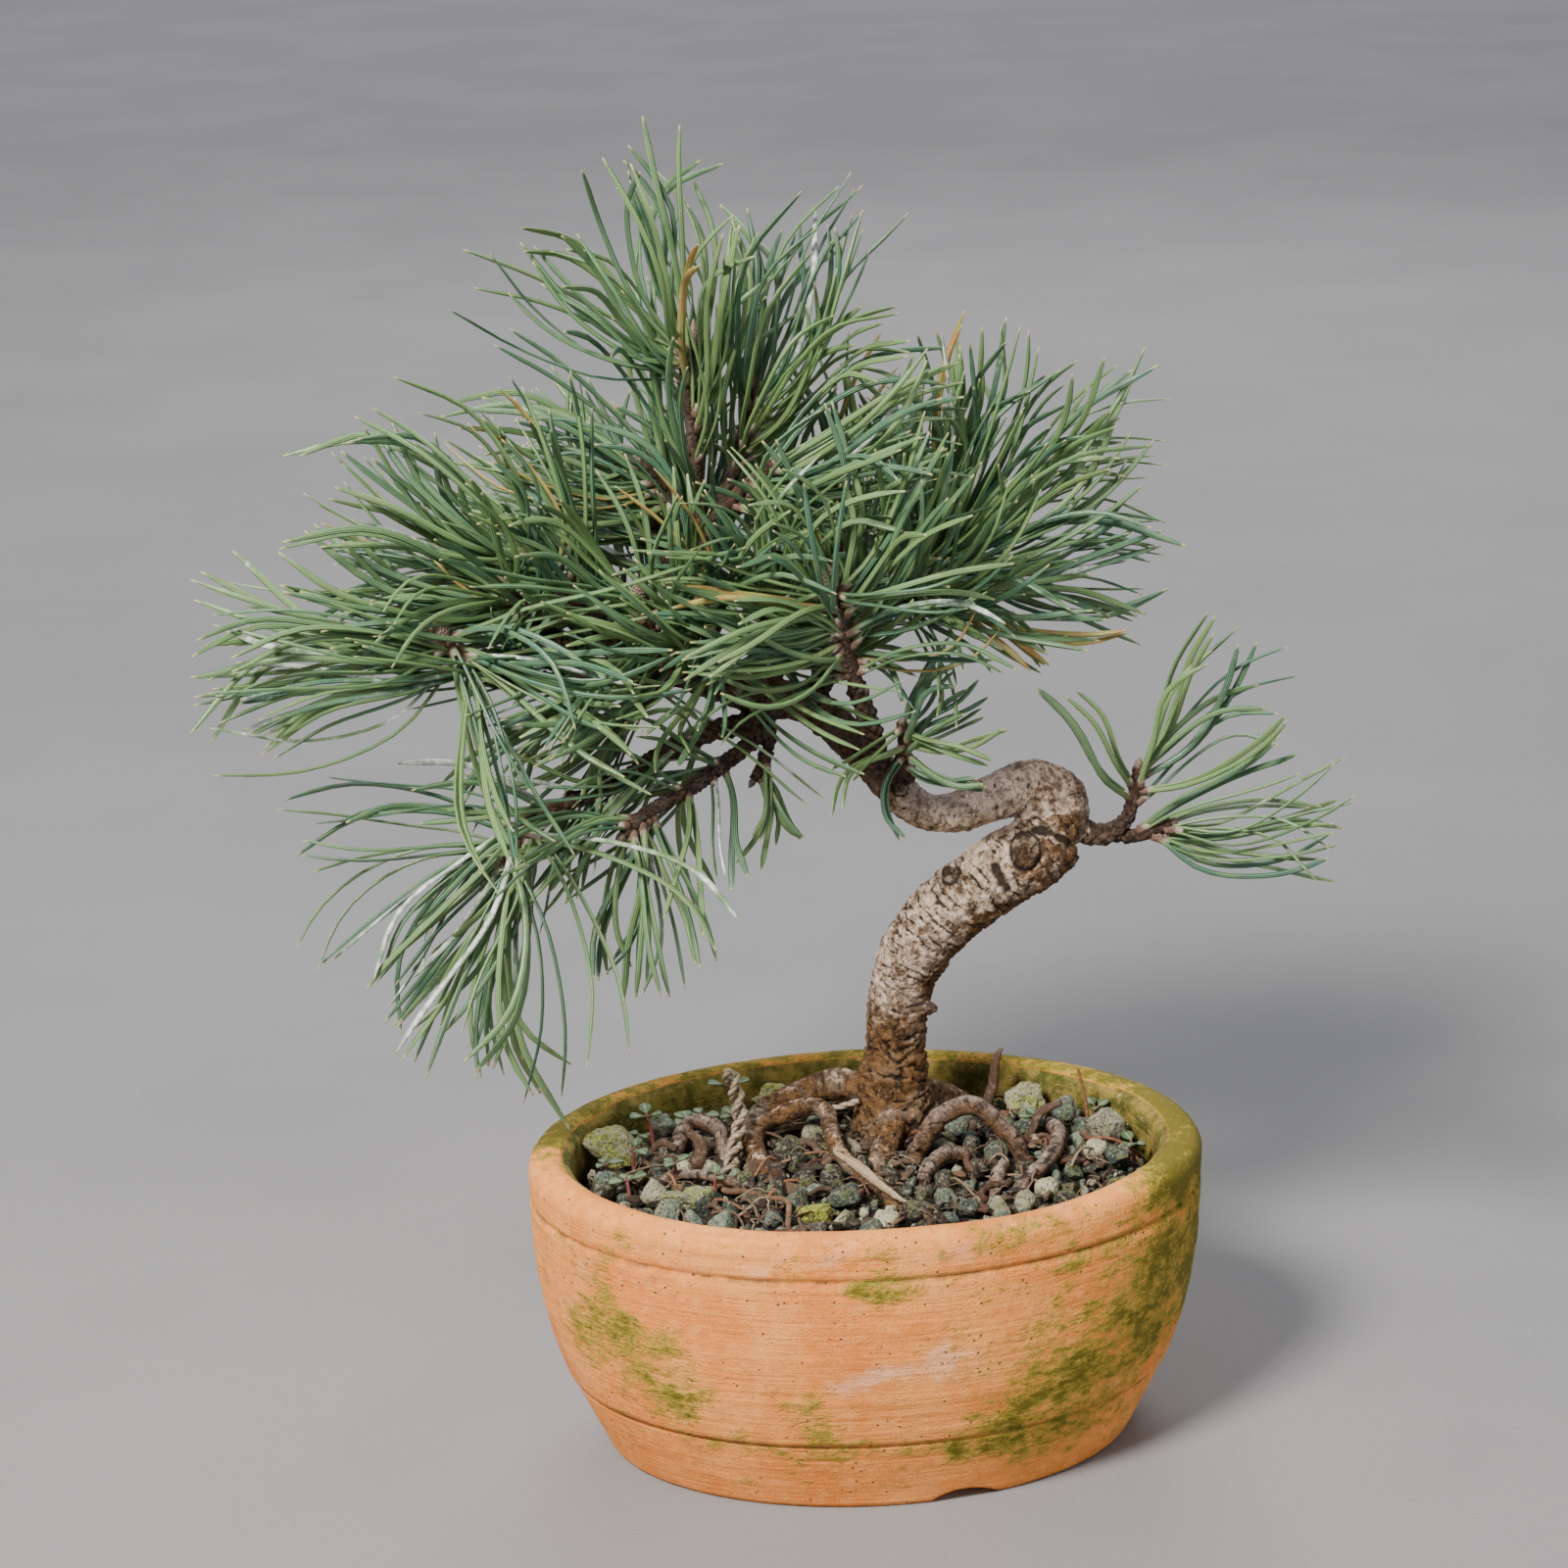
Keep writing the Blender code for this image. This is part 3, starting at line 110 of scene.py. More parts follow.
BRANCHES = {
    "left": [(-36, 19, 196, 2.6), (-46, 17, 199, 2.8), (-55, 14, 199.5, 2.5), (-65, 8, 200.5, 2.3),
             (-79, 2, 203, 2.0), (-88, -3, 207, 1.8)],
    "lower_left": [(-20, 20, 189, 2.2), (-24, 16, 186, 2.6), (-32, 12, 185.5, 2.4), (-41, 8, 184, 2.3),
                   (-51, 4, 180, 2.1), (-57, 2, 177, 2.0), (-65, 0, 175, 2.0), (-75.6, -2.9, 171.2, 1.8)],
    "lower_twig": [(-21, 17, 187, 1.8), (-25, 14, 181, 2.0), (-30, 11, 178, 1.8), (-38, 5, 174.5, 1.7),
                   (-47, -1, 171.6, 1.5)],
    "hanging_twig": [(-20, 18, 187, 1.4), (-20, 14.5, 182, 1.5), (-21, 12.8, 178.8, 1.2)],
    "apex": [(-30, 20, 192, 2.6), (-33, 23, 204, 2.5), (-35, 24, 220, 2.3), (-35, 24, 238, 2.1)],
    "upper_right": [(-34.5, 24, 226, 1.5), (-30, 27, 238, 1.7), (-26.5, 29, 245.3, 1.6)],
    "crown_right": [(-34.8, 24, 229, 1.4), (-32, 22, 235, 1.6), (-30.4, 20.3, 237.6, 1.5)],
    "crown_left": [(-35, 24, 229, 1.4), (-38.5, 25, 235.5, 1.5)],
    "inner_left": [(-34, 24, 207, 1.4), (-37.5, 26.7, 213.6, 1.5)],
    "inner_back": [(-33, 23, 203, 1.4), (-34.6, 31, 213, 1.6), (-35.8, 35.5, 216.5, 1.5)],
    "front_low": [(-31, 19, 195, 1.8), (-31.4, 13.4, 199.2, 1.7), (-32, 10.6, 200.8, 1.5)],
    "centre": [(-18, 21, 190, 1.8), (-18, 16, 196.6, 1.7), (-18, 13.4, 198.8, 1.5)],
    "right": [(-8, 22, 186.5, 2.4), (-5.5, 26, 192, 2.5), (4, 32, 200.5, 2.3), (12, 34.6, 207.5, 2.1),
              (16.7, 35.9, 211.7, 1.9)],
    "right_front": [(9.5, 34, 205.5, 1.4), (11.7, 30.2, 208.2, 1.5)],
    "back_right": [(-6, 26, 191.5, 1.8), (-6.2, 34, 201, 1.7), (-5.3, 37.6, 205.6, 1.5)],
    "back_middle": [(-20, 21, 191, 1.8), (-21.6, 30, 197.6, 1.7), (-20.3, 35.6, 201.8, 1.5)],
    "left_front": [(-41, 18, 198, 1.6), (-43.4, 12.4, 200.6, 1.6), (-44, 10.4, 201.8, 1.5)],
    "left_back": [(-47, 17, 199, 1.6), (-50, 25, 200.6, 1.6), (-52.7, 31.4, 203.8, 1.5)],
    "left_middle": [(-53.6, 14.5, 199.5, 1.4), (-57, 19, 203.5, 1.5)],
    "left_upper": [(-41, 18, 198, 1.9), (-48, 16, 203, 2.0), (-56, 13, 209, 1.9), (-61.6, 12.1, 214.6, 1.7)],
    "left_outer": [(-62, 10, 200, 1.5), (-67.4, 9, 206.4, 1.7), (-71.7, 8.2, 211.8, 1.5)],
    "under_left": [(-46, 17, 198, 1.4), (-49, 14, 194.8, 1.4)],
    "front_shoot": [(4, 22, 174, 2.6), (7, 15.5, 172.5, 2.8), (6.6, 9, 175.5, 2.6), (4, 2.5, 186, 2.4),
                    (0, -4, 200, 2.2)],
    "trunk_front": [(9.5, 20, 167.5, 1.6), (12, 14, 171.4, 1.6), (12, 10.4, 174.6, 1.4)],
    "elbow": [(54, 22, 152, 3.2), (61, 22, 150, 2.6), (66, 20, 150, 2.4), (69, 18.7, 153, 1.9),
              (70.2, 18.2, 154.7, 1.7)],
    "elbow_fork": [(65, 20.4, 150, 1.6), (69.9, 18.8, 149.6, 1.5)],
    "dead_stub": [(13, 18, 106, 2.2), (20.5, 15, 107.5, 1.2)],
    "old_stub": [(12, 20, 165, 2.6), (15.6, 17.4, 171.6, 1.8)],
    "root_left": [(4, 20, 84, 3.4), (-5, 24, 84.5, 4.0), (-13, 26, 81.5, 3.6), (-21, 26, 78.5, 3.2),
                  (-26.5, 20, 76, 3.0), (-27.5, 11, 74, 2.8), (-26, 2, 71.5, 2.6), (-21, -6, 67.5, 2.4)],
    "root_right": [(14, 22, 82, 4.4), (22, 28, 78, 3.8), (29, 33, 73, 3.2), (33, 36, 67, 2.8)],
    "root_front": [(9, 14, 80, 4.0), (6.5, 7, 75, 3.4), (3, 0, 70.4, 2.8), (0, -5, 65, 2.4)],
    "root_back": [(8, 28, 80, 4.4), (4, 38, 73, 3.4), (0, 44, 66, 2.8)],
    "root_arch_front": [(-26.5, 18, 75.8, 2.0), (-21.5, 15.5, 79.5, 2.2), (-16, 14.5, 82, 2.2),
                        (-11, 13.5, 83, 2.1), (-8.4, 10.5, 82.2, 2.0), (-8, 3, 79.5, 2.1),
                        (-6.5, -5, 77, 2.1), (-2, -13, 75, 2.0), (3, -19, 72.6, 2.0),
                        (6.5, -24.5, 67.5, 1.8)],
}
BURIED_ROOTS = 5  # the last of the branches are roots that grow out of the trunk's foot
# Where branches were cut: (x, y, z), half width, half height, how proud its rim stands.
SCARS = [
    ((43.1, 9.0, 150.6), 3.0, 3.9, 0.8), ((23.4, 12.8, 145.0), 2.5, 2.7, 2.2),
    ((12.6, 15.6, 166.5), 1.8, 1.8, 0.5),
]
# Splits in the bark: two ends, and how far each reaches to its sides.
SLITS = [
    ((34.0, 8.5, 148.5), (38.0, 8.5, 141.5), 0.8), ((21.0, 12.0, 137.0), (24.0, 11.0, 133.0), 0.4),
    ((42.5, 13.0, 157.0), (55.0, 12.0, 151.0), 0.7),
]

# Exposed roots that rise from the soil and dive back in.
ROOTS = {
    "root_arch_right": [(11.5, 0.5, 70.0, 2.2), (16.0, 2.2, 77.5, 2.5), (20.5, 3.6, 83.0, 2.6),
                        (27.0, 4.6, 84.6, 2.5), (33.0, 4.4, 81.0, 2.5), (37.6, 2.4, 75.6, 2.3),
                        (41.5, -0.5, 68.4, 2.1)],
    "root_crossing": [(51.0, 22.0, 68.0, 1.8), (50.6, 16.0, 73.2, 2.0), (51.0, 5.0, 74.2, 2.1),
                      (45.0, -9.0, 74.0, 2.0), (37.0, -20.0, 71.8, 2.0), (33.0, -25.5, 67.6, 1.8)],
    "root_fork": [(35.0, -5.6, 69.4, 1.8), (34.0, -10.0, 73.6, 1.9), (31.5, -17.0, 73.2, 1.9),
                  (28.0, -24.5, 68.4, 1.7)],
    "root_low": [(12.0, -13.5, 68.6, 1.8), (15.0, -9.0, 73.4, 2.0), (20.0, -3.5, 74.6, 2.0),
                 (25.5, -2.0, 73.0, 1.9), (29.0, -0.6, 68.6, 1.8)],
    "root_loop_left": [(-48.0, 8.0, 68.0, 1.9), (-47.0, 15.0, 73.6, 2.1), (-43.0, 22.0, 76.4, 2.2),
                       (-37.0, 21.0, 75.6, 2.1), (-34.6, 14.0, 73.6, 2.0), (-35.0, 7.6, 68.4, 1.8)],
    "root_thin_left": [(-55.0, -6.0, 68.2, 1.3), (-50.0, -2.0, 72.6, 1.4), (-42.0, -5.0, 73.8, 1.4),
                       (-34.0, -11.0, 72.8, 1.4), (-29.0, -17.0, 68.4, 1.3)],
}
# Big stones: the middle, half sizes, turn about z in degrees, and how pale, green and mossy each is.
STONES = {
    "stone_pale_left": ((-62.5, 17.0, 73.4), (7.2, 6.0, 5.6), 20, (0.85, 0.25, 0.46)),
    "stone_mossy_back": ((-19.0, 44.0, 72.0), (7.0, 5.0, 4.6), 10, (0.85, 0.45, 0.50)),
    "stone_grey_right": ((63.4, 9.0, 73.2), (7.4, 5.2, 4.8), -15, (0.62, 0.25, 0.0)),
    "stone_dark_right": ((64.5, -4.6, 72.0), (4.6, 4.4, 3.6), 30, (0.25, 0.95, 0.0)),
    "stone_yellow_right": ((45.5, 32.5, 73.4), (5.4, 4.6, 4.4), 0, (0.78, 0.25, 0.42)),
    "stone_green_right": ((55.0, 25.0, 72.4), (3.8, 3.6, 3.8), 40, (0.45, 0.9, 0.15)),
    "stone_front_left": ((-45.5, -14.5, 71.6), (6.2, 4.4, 3.4), -10, (0.72, 0.50, 0.42)),
    "stone_mossy_front": ((-15.5, -28.0, 71.6), (6.8, 4.6, 3.4), 5, (0.80, 0.2, 0.95)),
    "stone_small_front": ((17.5, -25.0, 71.6), (3.8, 3.2, 2.8), 25, (0.45, 0.8, 0.0)),
    "stone_back_left": ((-49.0, 29.0, 72.0), (5.2, 4.4, 3.8), 35, (0.55, 0.85, 0.1)),
    "stone_teal_back": ((21.0, 44.0, 72.4), (5.0, 4.0, 3.8), -20, (0.42, 1.0, 0.0)),
    "stone_round_left": ((-51.0, -24.0, 71.6), (4.2, 3.8, 3.4), 15, (0.60, 0.75, 0.1)),
}
# Gravel: how many places are tried, smallest and largest half size, and how finely each grain is made.
GRAVEL = {
    "gravel_coarse": (900, 2.2, 4.4, 3),
    "gravel_middle": (1300, 1.3, 2.1, 3),
    "gravel_fine": (2600, 0.6, 1.2, 2),
}
GRAVEL_KINDS = [(0.0, 0.22, 0.1), (0.2, 0.7, 0.95), (0.62, 1.0, 0.15)]  # darkest and palest tone, how green
KIND_SHARES = (0.40, 0.40, 0.20)

# The tie: one length of twine doubled back on itself and twisted, and a strand that holds the left root.
TIE_RADIUS = 0.85
TIE_TURNS = 3.5
TIE_AXIS = [(-35.5, -4.5, 67.6), (-34.5, -1.5, 72.0), (-32.8, 4.5, 76.2), (-30.8, 10.5, 80.5),
            (-31.0, 13.5, 86.0), (-32.4, 14.5, 92.0)]
TIE_SPREAD = 1.3  # from the twist's middle line to each strand's
TIE_STRAND = [(0.4, 15.5, 83.0), (-4.5, 16.5, 81.2), (-9.0, 18.5, 79.6), (-14.0, 20.5, 77.8),
              (-18.5, 20.5, 75.6), (-21.5, 19.0, 72.4), (-22.0, 17.0, 67.6)]

# Seedlings that have sown themselves: stem points, then (leaf direction, length) for each leaf.
SEEDLINGS = {
    "seedling_back": ([(-31.5, 33.5, 69.6), (-31.0, 34.0, 76.0), (-32.0, 34.6, 81.0)],
                      [((-0.8, -0.5, 0.5), 6.5), ((0.9, -0.3, 0.5), 6.0), ((0.1, 0.9, 0.4), 5.5)]),
    "seedling_left": ([(-52.5, 20.0, 68.6), (-53.0, 20.6, 75.6), (-54.0, 21.0, 79.5)],
                      [((-0.8, -0.6, 0.4), 5.5), ((0.7, -0.6, 0.5), 5.0), ((-0.1, 0.9, 0.5), 5.0)]),
}
# Sprouts too small to name: (x, y).
SPROUTS = [
    (-66.0, 6.0), (-58.5, 9.0), (-44.0, 27.0), (-38.0, 33.0), (-56.0, 25.0), (-48.0, -4.0), (-39.0, -14.0),
    (-60.0, -8.0), (67.0, 14.0), (61.5, 21.0), (68.5, 2.0), (47.0, 20.0), (-30.0, 26.0), (-25.0, 38.0),
]
DRY_STALK = [(60.5, 19.0, 68.0), (59.6, 20.4, 78.0), (58.0, 22.0, 86.0)]
FALLEN_NEEDLE = [(-28.5, -24.0, 71.2), (-25.0, -17.5, 73.4), (-21.0, -12.5, 74.0), (-15.0, -9.5, 72.3)]
# A pale splinter, the sliver beside it and chips of bark. Each point is (x, y, z, radius).
SPLINTER = [(-8.5, -7.0, 79.0, 0.5), (-4.0, -13.0, 77.6, 1.3), (1.5, -20.0, 75.0, 1.4),
            (8.5, -28.5, 72.4, 0.6)]
SLIVER = [(-6.0, -9.0, 79.6, 0.2), (-1.0, -16.0, 77.6, 0.55), (4.0, -24.0, 74.0, 0.3)]
BARK_CHIPS = [
    [(35.0, 33.0, 71.0, 2.4), (37.0, 32.0, 78.0, 2.6), (38.0, 32.5, 85.0, 2.0), (39.5, 33.0, 88.0, 0.8)],
    [(-43.0, 3.0, 71.0, 1.6), (-41.0, 6.0, 76.5, 1.8), (-44.0, 8.0, 80.0, 1.0)],
    [(-55.0, 12.0, 72.0, 1.2), (-51.0, 12.0, 76.0, 1.5), (-47.0, 10.0, 75.0, 1.0)],
    [(44.0, 12.0, 72.0, 1.6), (47.0, 13.0, 78.0, 2.0), (52.0, 12.0, 80.5, 1.2)],
    [(-12.0, -4.0, 71.0, 1.8), (-9.0, -2.0, 75.0, 2.2), (-4.0, -1.0, 74.5, 1.4)],
]

# Each tuft's shoot: its middle line.
SHOOTS = {
    "apex": [(-35, 24, 238.4), (-36, 22, 256), (-37, 20, 270), (-36, 18, 280)],
    "upper_right": [(-26.3, 29.2, 245.7), (-23, 30, 256), (-21, 30, 267)],
    "crown_right": [(-30.1, 20.1, 237.9), (-24, 15, 246), (-17, 12, 252)],
    "crown_left": [(-38.8, 25.1, 236), (-43.5, 26, 245), (-49.5, 26, 251)],
    "left_upper": [(-61.9, 12, 215), (-70, 11.5, 225), (-79, 11, 238)],
    "left_outer": [(-72, 8.1, 212.1), (-78, 5, 219), (-84, 2, 227)],
    "far_left": [(-88.4, -3.2, 207.2), (-94, -5.5, 210.5), (-99, -8, 218)],
    "lower_left": [(-76, -3, 171), (-82, -4.4, 168), (-88, -6, 162)],
    "under_twig": [(-47.4, -1.3, 171.4), (-53, -5, 169.5), (-58, -8, 166)],
    "hanging": [(-21.2, 12.6, 178.3), (-22.4, 12, 175), (-24.5, 11.2, 172)],
    "under_left": [(-49.4, 13.6, 194.4), (-55, 10, 191.5), (-60, 6, 189)],
    "front": [(-0.1, -4.4, 200.5), (-3, -8, 213), (-6, -12, 227)],
    "right": [(17, 36, 212), (25, 38, 217), (30, 40, 221), (34, 42, 228)],
    "right_front": [(11.9, 29.8, 208.6), (15, 25, 214), (17, 20, 221)],
    "trunk_front": [(12, 10, 174.9), (12.6, 7, 180), (12, 4.5, 187)],
    "elbow": [(70.4, 18, 155.1), (72, 18, 161), (73, 18, 168)],
    "elbow_fork": [(70.4, 18.6, 149.7), (75, 16.5, 151), (81, 15, 154)],
    "centre": [(-18, 12.7, 199.4), (-18, 8, 211), (-19, 4, 223)],
    "back_right": [(-5.1, 37.9, 206), (-1, 42, 214), (2, 46, 223)],
    "left_front": [(-44.2, 10, 202.2), (-48, 4, 212), (-51, -2, 224)],
    "inner_left": [(-37.8, 26.9, 214), (-42, 29, 222), (-47, 30, 233)],
    "left_middle": [(-57.4, 19.5, 204), (-62, 22.5, 210), (-67, 25, 218)],
    "front_low": [(-32.2, 10.1, 201), (-35, 3, 209), (-37, -4, 220)],
    "inner_back": [(-36, 36, 216.8), (-38, 45, 224), (-39, 55, 234)],
    "back_middle": [(-20, 36.1, 202.2), (-16, 46, 209), (-12, 58, 221)],
    "left_back": [(-53, 31.9, 204.1), (-57, 42, 211), (-60, 53, 221)],
}
NEEDLE_HALF = 0.80  # half of a needle's width
NEEDLE_LENGTH = 55  # the length at which a needle's spread, droop and bow are as given
NEEDLE_SAMPLES = 14
# Half-round: the rounded back looks away from the needle's twin. Pairs are (outward, across).
NEEDLE_SECTION = np.array([(0.0, -1.0), (0.52, -0.74), (0.78, 0.0), (0.52, 0.74), (0.0, 1.0), (-0.12, 0.45),
                           (-0.12, -0.45)])
FILL = {  # how many more pairs a tuft gets, as a share of those in its plain solid
    "hanging": 0.0, "trunk_front": 0.2, "elbow": 0.0, "elbow_fork": 0.0, "lower_left": 0.15, "far_left": 0.3,
    "under_twig": 0.1, "under_left": 0.3, "apex": 0.1, "crown_left": 0.2, "crown_right": 0.2,
    "upper_right": 0.2,
}
USUAL_FILL = 0.35
BLEACHED = {  # the share of a tuft's needles that has bleached
    "lower_left": 0.30, "far_left": 0.10, "under_twig": 0.08, "left_upper": 0.03,
}
USUAL_BLEACHED = 0.012
BUDS = {  # radius and length of the bud at the shoot's tip
    "far_left": (2.5, 6.0), "lower_left": (2.2, 6.0), "front": (1.9, 7.5), "elbow": (1.1, 3.0),
    "apex": (1.8, 8.0), "crown_left": (1.7, 7.0), "front_low": (1.8, 7.0), "left_front": (1.8, 7.0),
    "right": (1.8, 7.0), "trunk_front": (0.9, 2.0), "elbow_fork": (1.0, 2.5), "hanging": (0.9, 2.5),
    "under_twig": (1.1, 3.0),
}
SMALL_BUD = (1.4, 4.5)
STRAYS = {"lower_left": 15, "lower_twig": 9, "left": 8, "under_left": 4, "right": 4}  # pairs on each branch
STRAY_BLEACHED = 0.15

# ---- camera and light. The lights' places, aims and sizes are in metres.

VIEW_TURN = math.radians(-4.3)  # the camera stands this far round to the left of the front
VIEW_RISE = math.radians(17.8)
VIEW_ROLL = math.radians(-1.6)
VIEW_DISTANCE = 963.0
VIEW_AIM = (-17.8, 173.8)  # how far right of the middle, and how high, it looks
LENS = 90
SENSOR = 36
LIGHT_AIM = (0, 0, 0.13)
LIGHTS = {  # place, aim, diameter, watts, colour
    "key": ((-0.75, -0.95, 1.30), LIGHT_AIM, 0.45, 62, (1.0, 0.97, 0.93)),
    "fill": ((1.3, -0.9, 0.7), LIGHT_AIM, 1.4, 6.5, (0.93, 0.96, 1.0)),
    "back": ((0.3, 1.5, 1.1), LIGHT_AIM, 1.2, 12, (0.96, 0.98, 1.0)),
    "far": ((0.0, 3.2, 3.0), (0.0, 3.6, 0.0), 3.0, 90, (0.98, 0.98, 1.0)),
}
SKY = (0.86, 0.89, 0.94, 1)
SKY_STRENGTH = 0.35
FLOOR_HALF = 6000.0
FLOOR_TILES = 24

# ---- numbers

HASH_STEPS = (374761393, 668265263, 1442695041)  # large odd numbers, which scatter the cells of each axis
HASH_SEED_STEP = 974711
HASH_TURN = 1274126177
HASH_MASK = 0xFFFFFFFF


def seeded(name):
    return np.random.default_rng([ord(letter) for letter in name])


def hashed(cell, seed):
    """A number from 0 to 1 for each whole-number cell."""
    mixed = sum(cell[:, axis] * HASH_STEPS[axis] for axis in range(3)) + seed * HASH_SEED_STEP
    mixed = mixed & HASH_MASK
    mixed = ((mixed ^ (mixed >> 13)) * HASH_TURN) & HASH_MASK
    return ((mixed ^ (mixed >> 16)) & 0xFFFF) / 65535.0


def noise(points, size, seed=0):
    """Smooth noise from -1 to 1 that changes over about `size` mm."""
    scaled = points / size
    cell = np.floor(scaled).astype(np.int64)
    part = scaled - cell
    part = part * part * (3 - 2 * part)
    total = np.zeros(len(points))
    for corner in np.ndindex(2, 2, 2):
        weight = np.prod(np.where(corner, part, 1 - part), axis=1)
        total += weight * hashed(cell + corner, seed)
    return total * 2 - 1


def rough(points, size, octaves, seed=0):
    """Noise with finer and weaker noise added to it."""
    return sum(noise(points, size / 2 ** i, seed + i) / 2 ** i for i in range(octaves))


def cells(points, size, seed=0):
    """Seeds scattered about `size` mm apart, as each point sees them.

    Gives the nearest one's distance, how much further the second is, both in units of size, and a number
    from 0 to 1 for the nearest.
    """
    scaled = points / size
    home = np.floor(scaled).astype(np.int64)
    near = np.full(len(points), 9.0)
    second = near.copy()
    number = np.zeros(len(points))
    for offset in np.ndindex(3, 3, 3):
        cell = home + np.array(offset) - 1
        centre = cell + np.stack([hashed(cell, seed + axis) for axis in range(3)], axis=1)
        away = np.linalg.norm(centre - scaled, axis=1)
        closer = away < near
        second = np.where(closer, near, np.minimum(second, away))
        number = np.where(closer, hashed(cell, seed + 7), number)
        near = np.minimum(near, away)
    return near, second - near, number


def ease(value, low, high):
    """0 below low, 1 above high and smooth between."""
    share = np.clip((value - low) / (high - low), 0, 1)
    return share * share * (3 - 2 * share)


def away_from_line(points, first, last):
    """How far each point is from the line from first to last, in any number of dimensions."""
    first, last = np.asarray(first, float), np.asarray(last, float)
    way = last - first
    share = np.clip((points - first) @ way / max(way @ way, 1e-9), 0, 1)
    return np.linalg.norm(points - first - share[:, None] * way, axis=1)


# ---- curves, tubes and meshes


def curve(rows, step):
    """Rows about `step` apart on a smooth curve through the rows. Columns after z are carried along."""
    rows = np.array(rows, float)
    rows = np.vstack([2 * rows[0] - rows[1], rows, 2 * rows[-1] - rows[-2]])
    made = [rows[1]]
    for a, b, c, d in zip(rows, rows[1:], rows[2:], rows[3:]):
        steps = max(1, round(float(np.linalg.norm((c - b)[:3])) / step))
        for i in range(1, steps + 1):
            t = i / steps
            made.append(0.5 * (2 * b + (c - a) * t + (2 * a - 5 * b + 4 * c - d) * t ** 2
                               + (3 * b - a - 3 * c + d) * t ** 3))
    return np.array(made)


def unit(vector):
    return vector / np.linalg.norm(vector)


def unit_rows(vectors):
    return vectors / np.maximum(np.linalg.norm(vectors, axis=1), 1e-9)[:, None]


def distance_along(path):
    """How far along the path each of its points is."""
    return np.concatenate([[0], np.cumsum(np.linalg.norm(np.diff(path, axis=0), axis=1))])


def interpolated(path, places, wanted):
    """The path's points at the wanted places, where `places` says where its own points are."""
    return np.column_stack([np.interp(wanted, places, path[:, axis]) for axis in range(3)])


def frames(path, start=None):
    """At each point of the path its direction, and two unit vectors square to it that don't spin."""
    ways = np.gradient(path, axis=0)
    ways /= np.linalg.norm(ways, axis=1)[:, None]
    side = np.eye(3)[np.argmin(np.abs(ways[0]))] if start is None else start
    sides = []
    for way in ways:
        side = unit(side - way * (side @ way))
        sides.append(side)
    sides = np.array(sides)
    return ways, sides, np.cross(ways, sides)


def even_turns(count):
    return np.arange(count) * math.tau / count


def circle(count):
    turns = even_turns(count)
    return np.stack([np.cos(turns), np.sin(turns)], axis=1)


def tube(path, radii, section, start=None, turns=None):
    """The points and faces of a closed tube.

    The radii are one number, or one per point of the path. The section is a ring of (side, other) pairs. Turns
    are how far it's twisted at each point of the path.
    """
    ways, sides, others = frames(path, start)
    if turns is not None:
        turned = np.cos(turns)[:, None] * sides + np.sin(turns)[:, None] * others
        others = np.cross(ways, turned)
        sides = turned
    ring = sides[:, None] * section[None, :, 0, None] + others[:, None] * section[None, :, 1, None]
    radii = np.broadcast_to(radii, len(path))
    points = (path[:, None] + ring * radii[:, None, None]).reshape(-1, 3)
    return np.vstack([points, path[:1], path[-1:]]), tube_faces(len(path), len(section))


def round_tube(path, around, start=None):
    """A tube of radius 1, and for each of its points the point of the path that it's round."""
    points, faces = tube(path, 1.0, circle(around), start)
    return points, faces, np.vstack([np.repeat(path, around, axis=0), path[:1], path[-1:]])


def tube_faces(count, around):
    """The sides and end caps of a tube with `count` rings."""
    row = np.arange(count - 1)[:, None] * around
    column = np.arange(around)[None]
    after = (column + 1) % around
    quads = np.stack([row + column, row + after, row + around + after, row + around + column], -1)
    column, after = column[0], after[0]
    first, last = np.full(around, count * around), (count - 1) * around
    start_cap = np.stack([first, after, column], -1)
    end_cap = np.stack([first + 1, last + column, last + after], -1)
    return [quads.reshape(-1, 4), start_cap, end_cap]


def face_list(blocks):
    return [face for block in blocks for face in block.tolist()]


def lengthwise(values, around):
    """One value per ring of a tube, for each of its points."""
    return np.concatenate([np.repeat(values, around), values[:1], values[-1:]])


def crosswise(values, count):
    """One value per point of the section, for each point of a tube."""
    return np.concatenate([np.tile(values, count), [values.mean()] * 2])


class Shape:
    """Points, faces and numbers per point that grow part by part and then become one object."""

    def __init__(self):
        self.points, self.faces, self.looks, self.fields, self.count = [], [], [], [], 0

    def add(self, points, faces, look=0, **fields):
        for block in faces:
            self.faces.append(block + self.count)
            self.looks.append(np.full(len(block), look))
        self.points.append(points)
        self.fields.append((self.count, len(points), fields))
        self.count += len(points)

    def build(self, name, *looks):
        fields = {}
        for start, length, given in self.fields:
            for field, value in given.items():
                fields.setdefault(field, np.zeros(self.count))[start:start + length] = value
        chosen = np.concatenate(self.looks)
        return make(name, np.vstack(self.points), face_list(self.faces), looks, fields, chosen)


def make(name, points, faces, looks, fields=None, chosen=None):
    """A smooth-shaded object in metres, with its materials and its numbers per point."""
    data = bpy.data.meshes.new(name)
    data.from_pydata((points * MM).tolist(), [], faces)
    data.validate()
    data.shade_smooth()
    for look in looks:
        data.materials.append(look)
    if chosen is not None and len(looks) > 1:
        data.polygons.foreach_set("material_index", chosen.astype(np.int32))
    for field, values in (fields or {}).items():
        write_field(data, field, values)
    made = bpy.data.objects.new(name, data)
    bpy.context.scene.collection.objects.link(made)
    return made


def write_field(data, field, values):
    layer = data.attributes.new(field, "FLOAT", "POINT")
    layer.data.foreach_set("value", np.ascontiguousarray(values, np.float32))


def points_of(data):
    """The mesh's points, in mm."""
    flat = np.empty(len(data.vertices) * 3, np.float32)
    data.vertices.foreach_get("co", flat)
    return flat.reshape(-1, 3).astype(float) / MM


